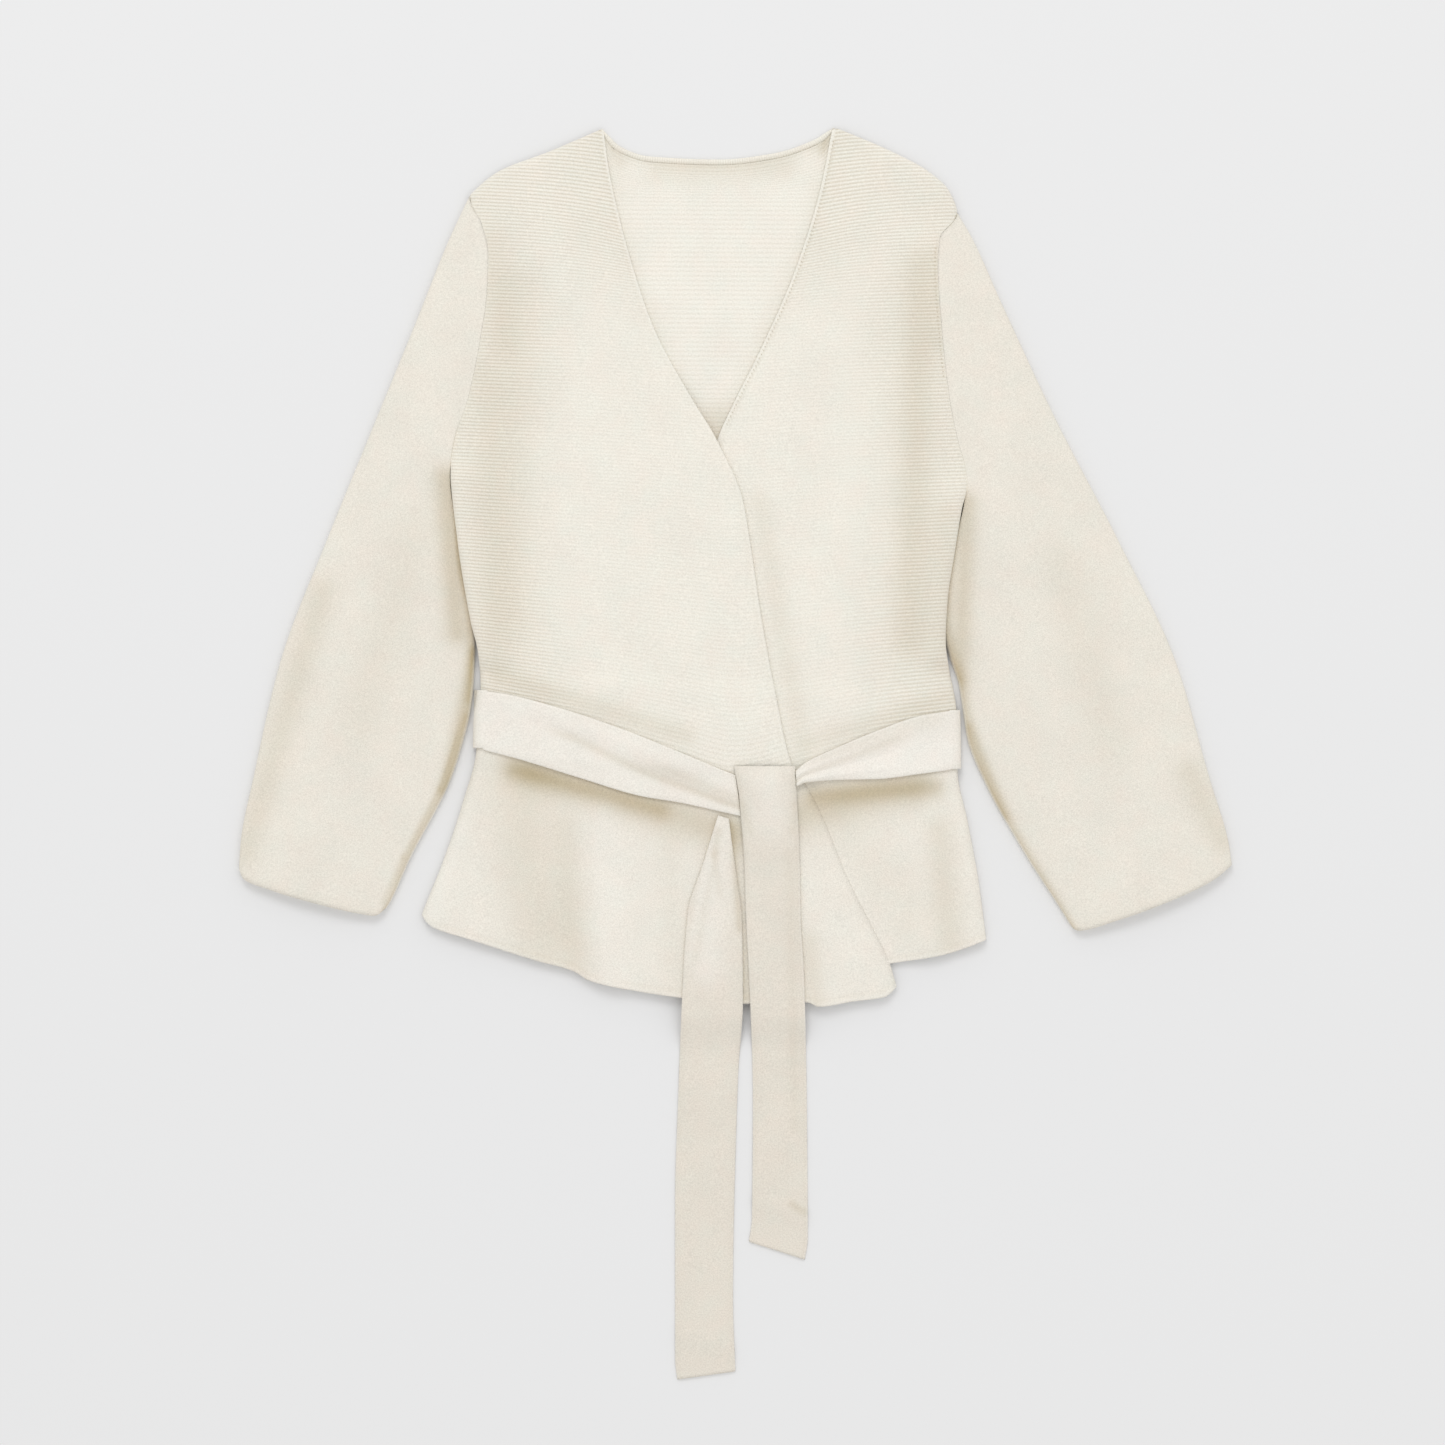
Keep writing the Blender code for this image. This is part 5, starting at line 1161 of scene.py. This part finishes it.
belt_back = belt_back_piece()
knot_and_tail = knot_and_tail_piece()
tail_back = tail_back_piece()

# What shows of each cut, laid out flat: width, length and area in metres, and what it lies on.
CUTS = (
    (back, (0.415, 0.49), 0.178, [peplum_back, belt_back]),
    (neck_roll, (0.012, 0.20), None, [back]),
    (front_right, (0.29, 0.53), 0.103, [back, front_left]),
    (front_left, (0.27, 0.52), 0.096, [back]),
    (peplum_back, (0.455, 0.225), 0.081, [belt_back]),
    (peplum_right, (0.39, 0.235), 0.060, [peplum_back, peplum_left]),
    (peplum_left, (0.34, 0.19), 0.048, [peplum_back]),
    (sleeve_right, (0.36, 0.58), 0.120, []),
    (sleeve_left, (0.40, 0.59), 0.140, []),
    (belt_right, (0.047, 0.225), None, [front_right, peplum_right]),
    (belt_left, (0.047, 0.145), None, [front_left, peplum_left]),
    (belt_back, (0.047, 0.39), None, []),
    (knot_and_tail, (0.047, 0.405), None, [belt_right, belt_left, peplum_right]),
    (tail_back, (0.047, 0.455), None, [peplum_right]),
)
for piece, flat, area, below in CUTS:
    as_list(below)


# A row of dots inside the under front's free edge, and linking stitches down the wearer's left armhole.
edge_y = np.arange(490.0, 262.0, -3.1)
edge_x = under_edge_x(edge_y) + 2.6
stitches("stitches_under_edge", edge_x, edge_y, under_front_face(edge_x, edge_y) + WALL + RIB_DEEP, 0.55)
seam_y = np.arange(404.0, 300.0, -3.4)
seam_x = body_left_x(seam_y) - 2.4
stitches("stitches_armhole", seam_x, seam_y, under_front_face(seam_x, seam_y) + WALL + RIB_DEEP * 0.6, 0.6)


def make_floor():
    mesh = bpy.data.meshes.new("floor")
    half = FLOOR_SIZE / 2
    corners = [(-half, -half, 0.0), (half, -half, 0.0), (half, half, 0.0), (-half, half, 0.0)]
    mesh.from_pydata(corners, [], [(0, 1, 2, 3)])
    floor = bpy.data.objects.new("floor", mesh)
    bpy.context.scene.collection.objects.link(floor)
    material = bpy.data.materials.new("floor_paper")
    material.use_nodes = True
    nodes, links = material.node_tree.nodes, material.node_tree.links
    shader = nodes["Principled BSDF"]
    shader.inputs["Roughness"].default_value = 1.0
    shader.inputs["Specular IOR Level"].default_value = 0.0
    paper = nodes.new("ShaderNodeTexNoise")
    paper.inputs["Scale"].default_value = 3.0
    grey = blend(nodes, links, paper.outputs["Fac"], PAPER_DARK, PAPER_LIGHT)
    links.new(grey, shader.inputs["Base Color"])
    mesh.materials.append(material)


def area_light(name, place, aim, size, power):
    light = bpy.data.lights.new(name, "AREA")
    light.shape = "DISK"
    light.size = size
    light.energy = power
    made = bpy.data.objects.new(name, light)
    made.location = place
    direction = np.array(aim, float) - np.array(place, float)
    tilt = math.atan2(math.hypot(direction[0], direction[1]), -direction[2])
    made.rotation_euler = (tilt, 0.0, math.atan2(direction[1], direction[0]) - math.pi / 2)
    bpy.context.scene.collection.objects.link(made)


def make_studio():
    world = bpy.data.worlds.new("studio")
    bpy.context.scene.world = world
    world.use_nodes = True
    sky = world.node_tree.nodes["Background"]
    sky.inputs["Color"].default_value = (1.0, 1.0, 1.0, 1.0)
    sky.inputs["Strength"].default_value = WORLD_LIGHT
    for light in LIGHTS:
        area_light(light.name, (light.x, light.y, light.z), (0.0, 0.0, 0.0), light.size, light.power)


def make_camera():
    """Straight above, with the photograph's frame."""
    camera = bpy.data.cameras.new("camera")
    camera.lens = 100.0
    camera.sensor_width = 36.0
    camera.sensor_fit = "HORIZONTAL"
    made = bpy.data.objects.new("camera", camera)
    made.location = (*PHOTO_CENTRE, CAMERA_HEIGHT)
    bpy.context.scene.collection.objects.link(made)
    bpy.context.scene.camera = made


make_floor()
make_studio()
make_camera()
bpy.context.scene.view_settings.view_transform = "Standard"
bpy.context.scene.view_settings.look = "None"
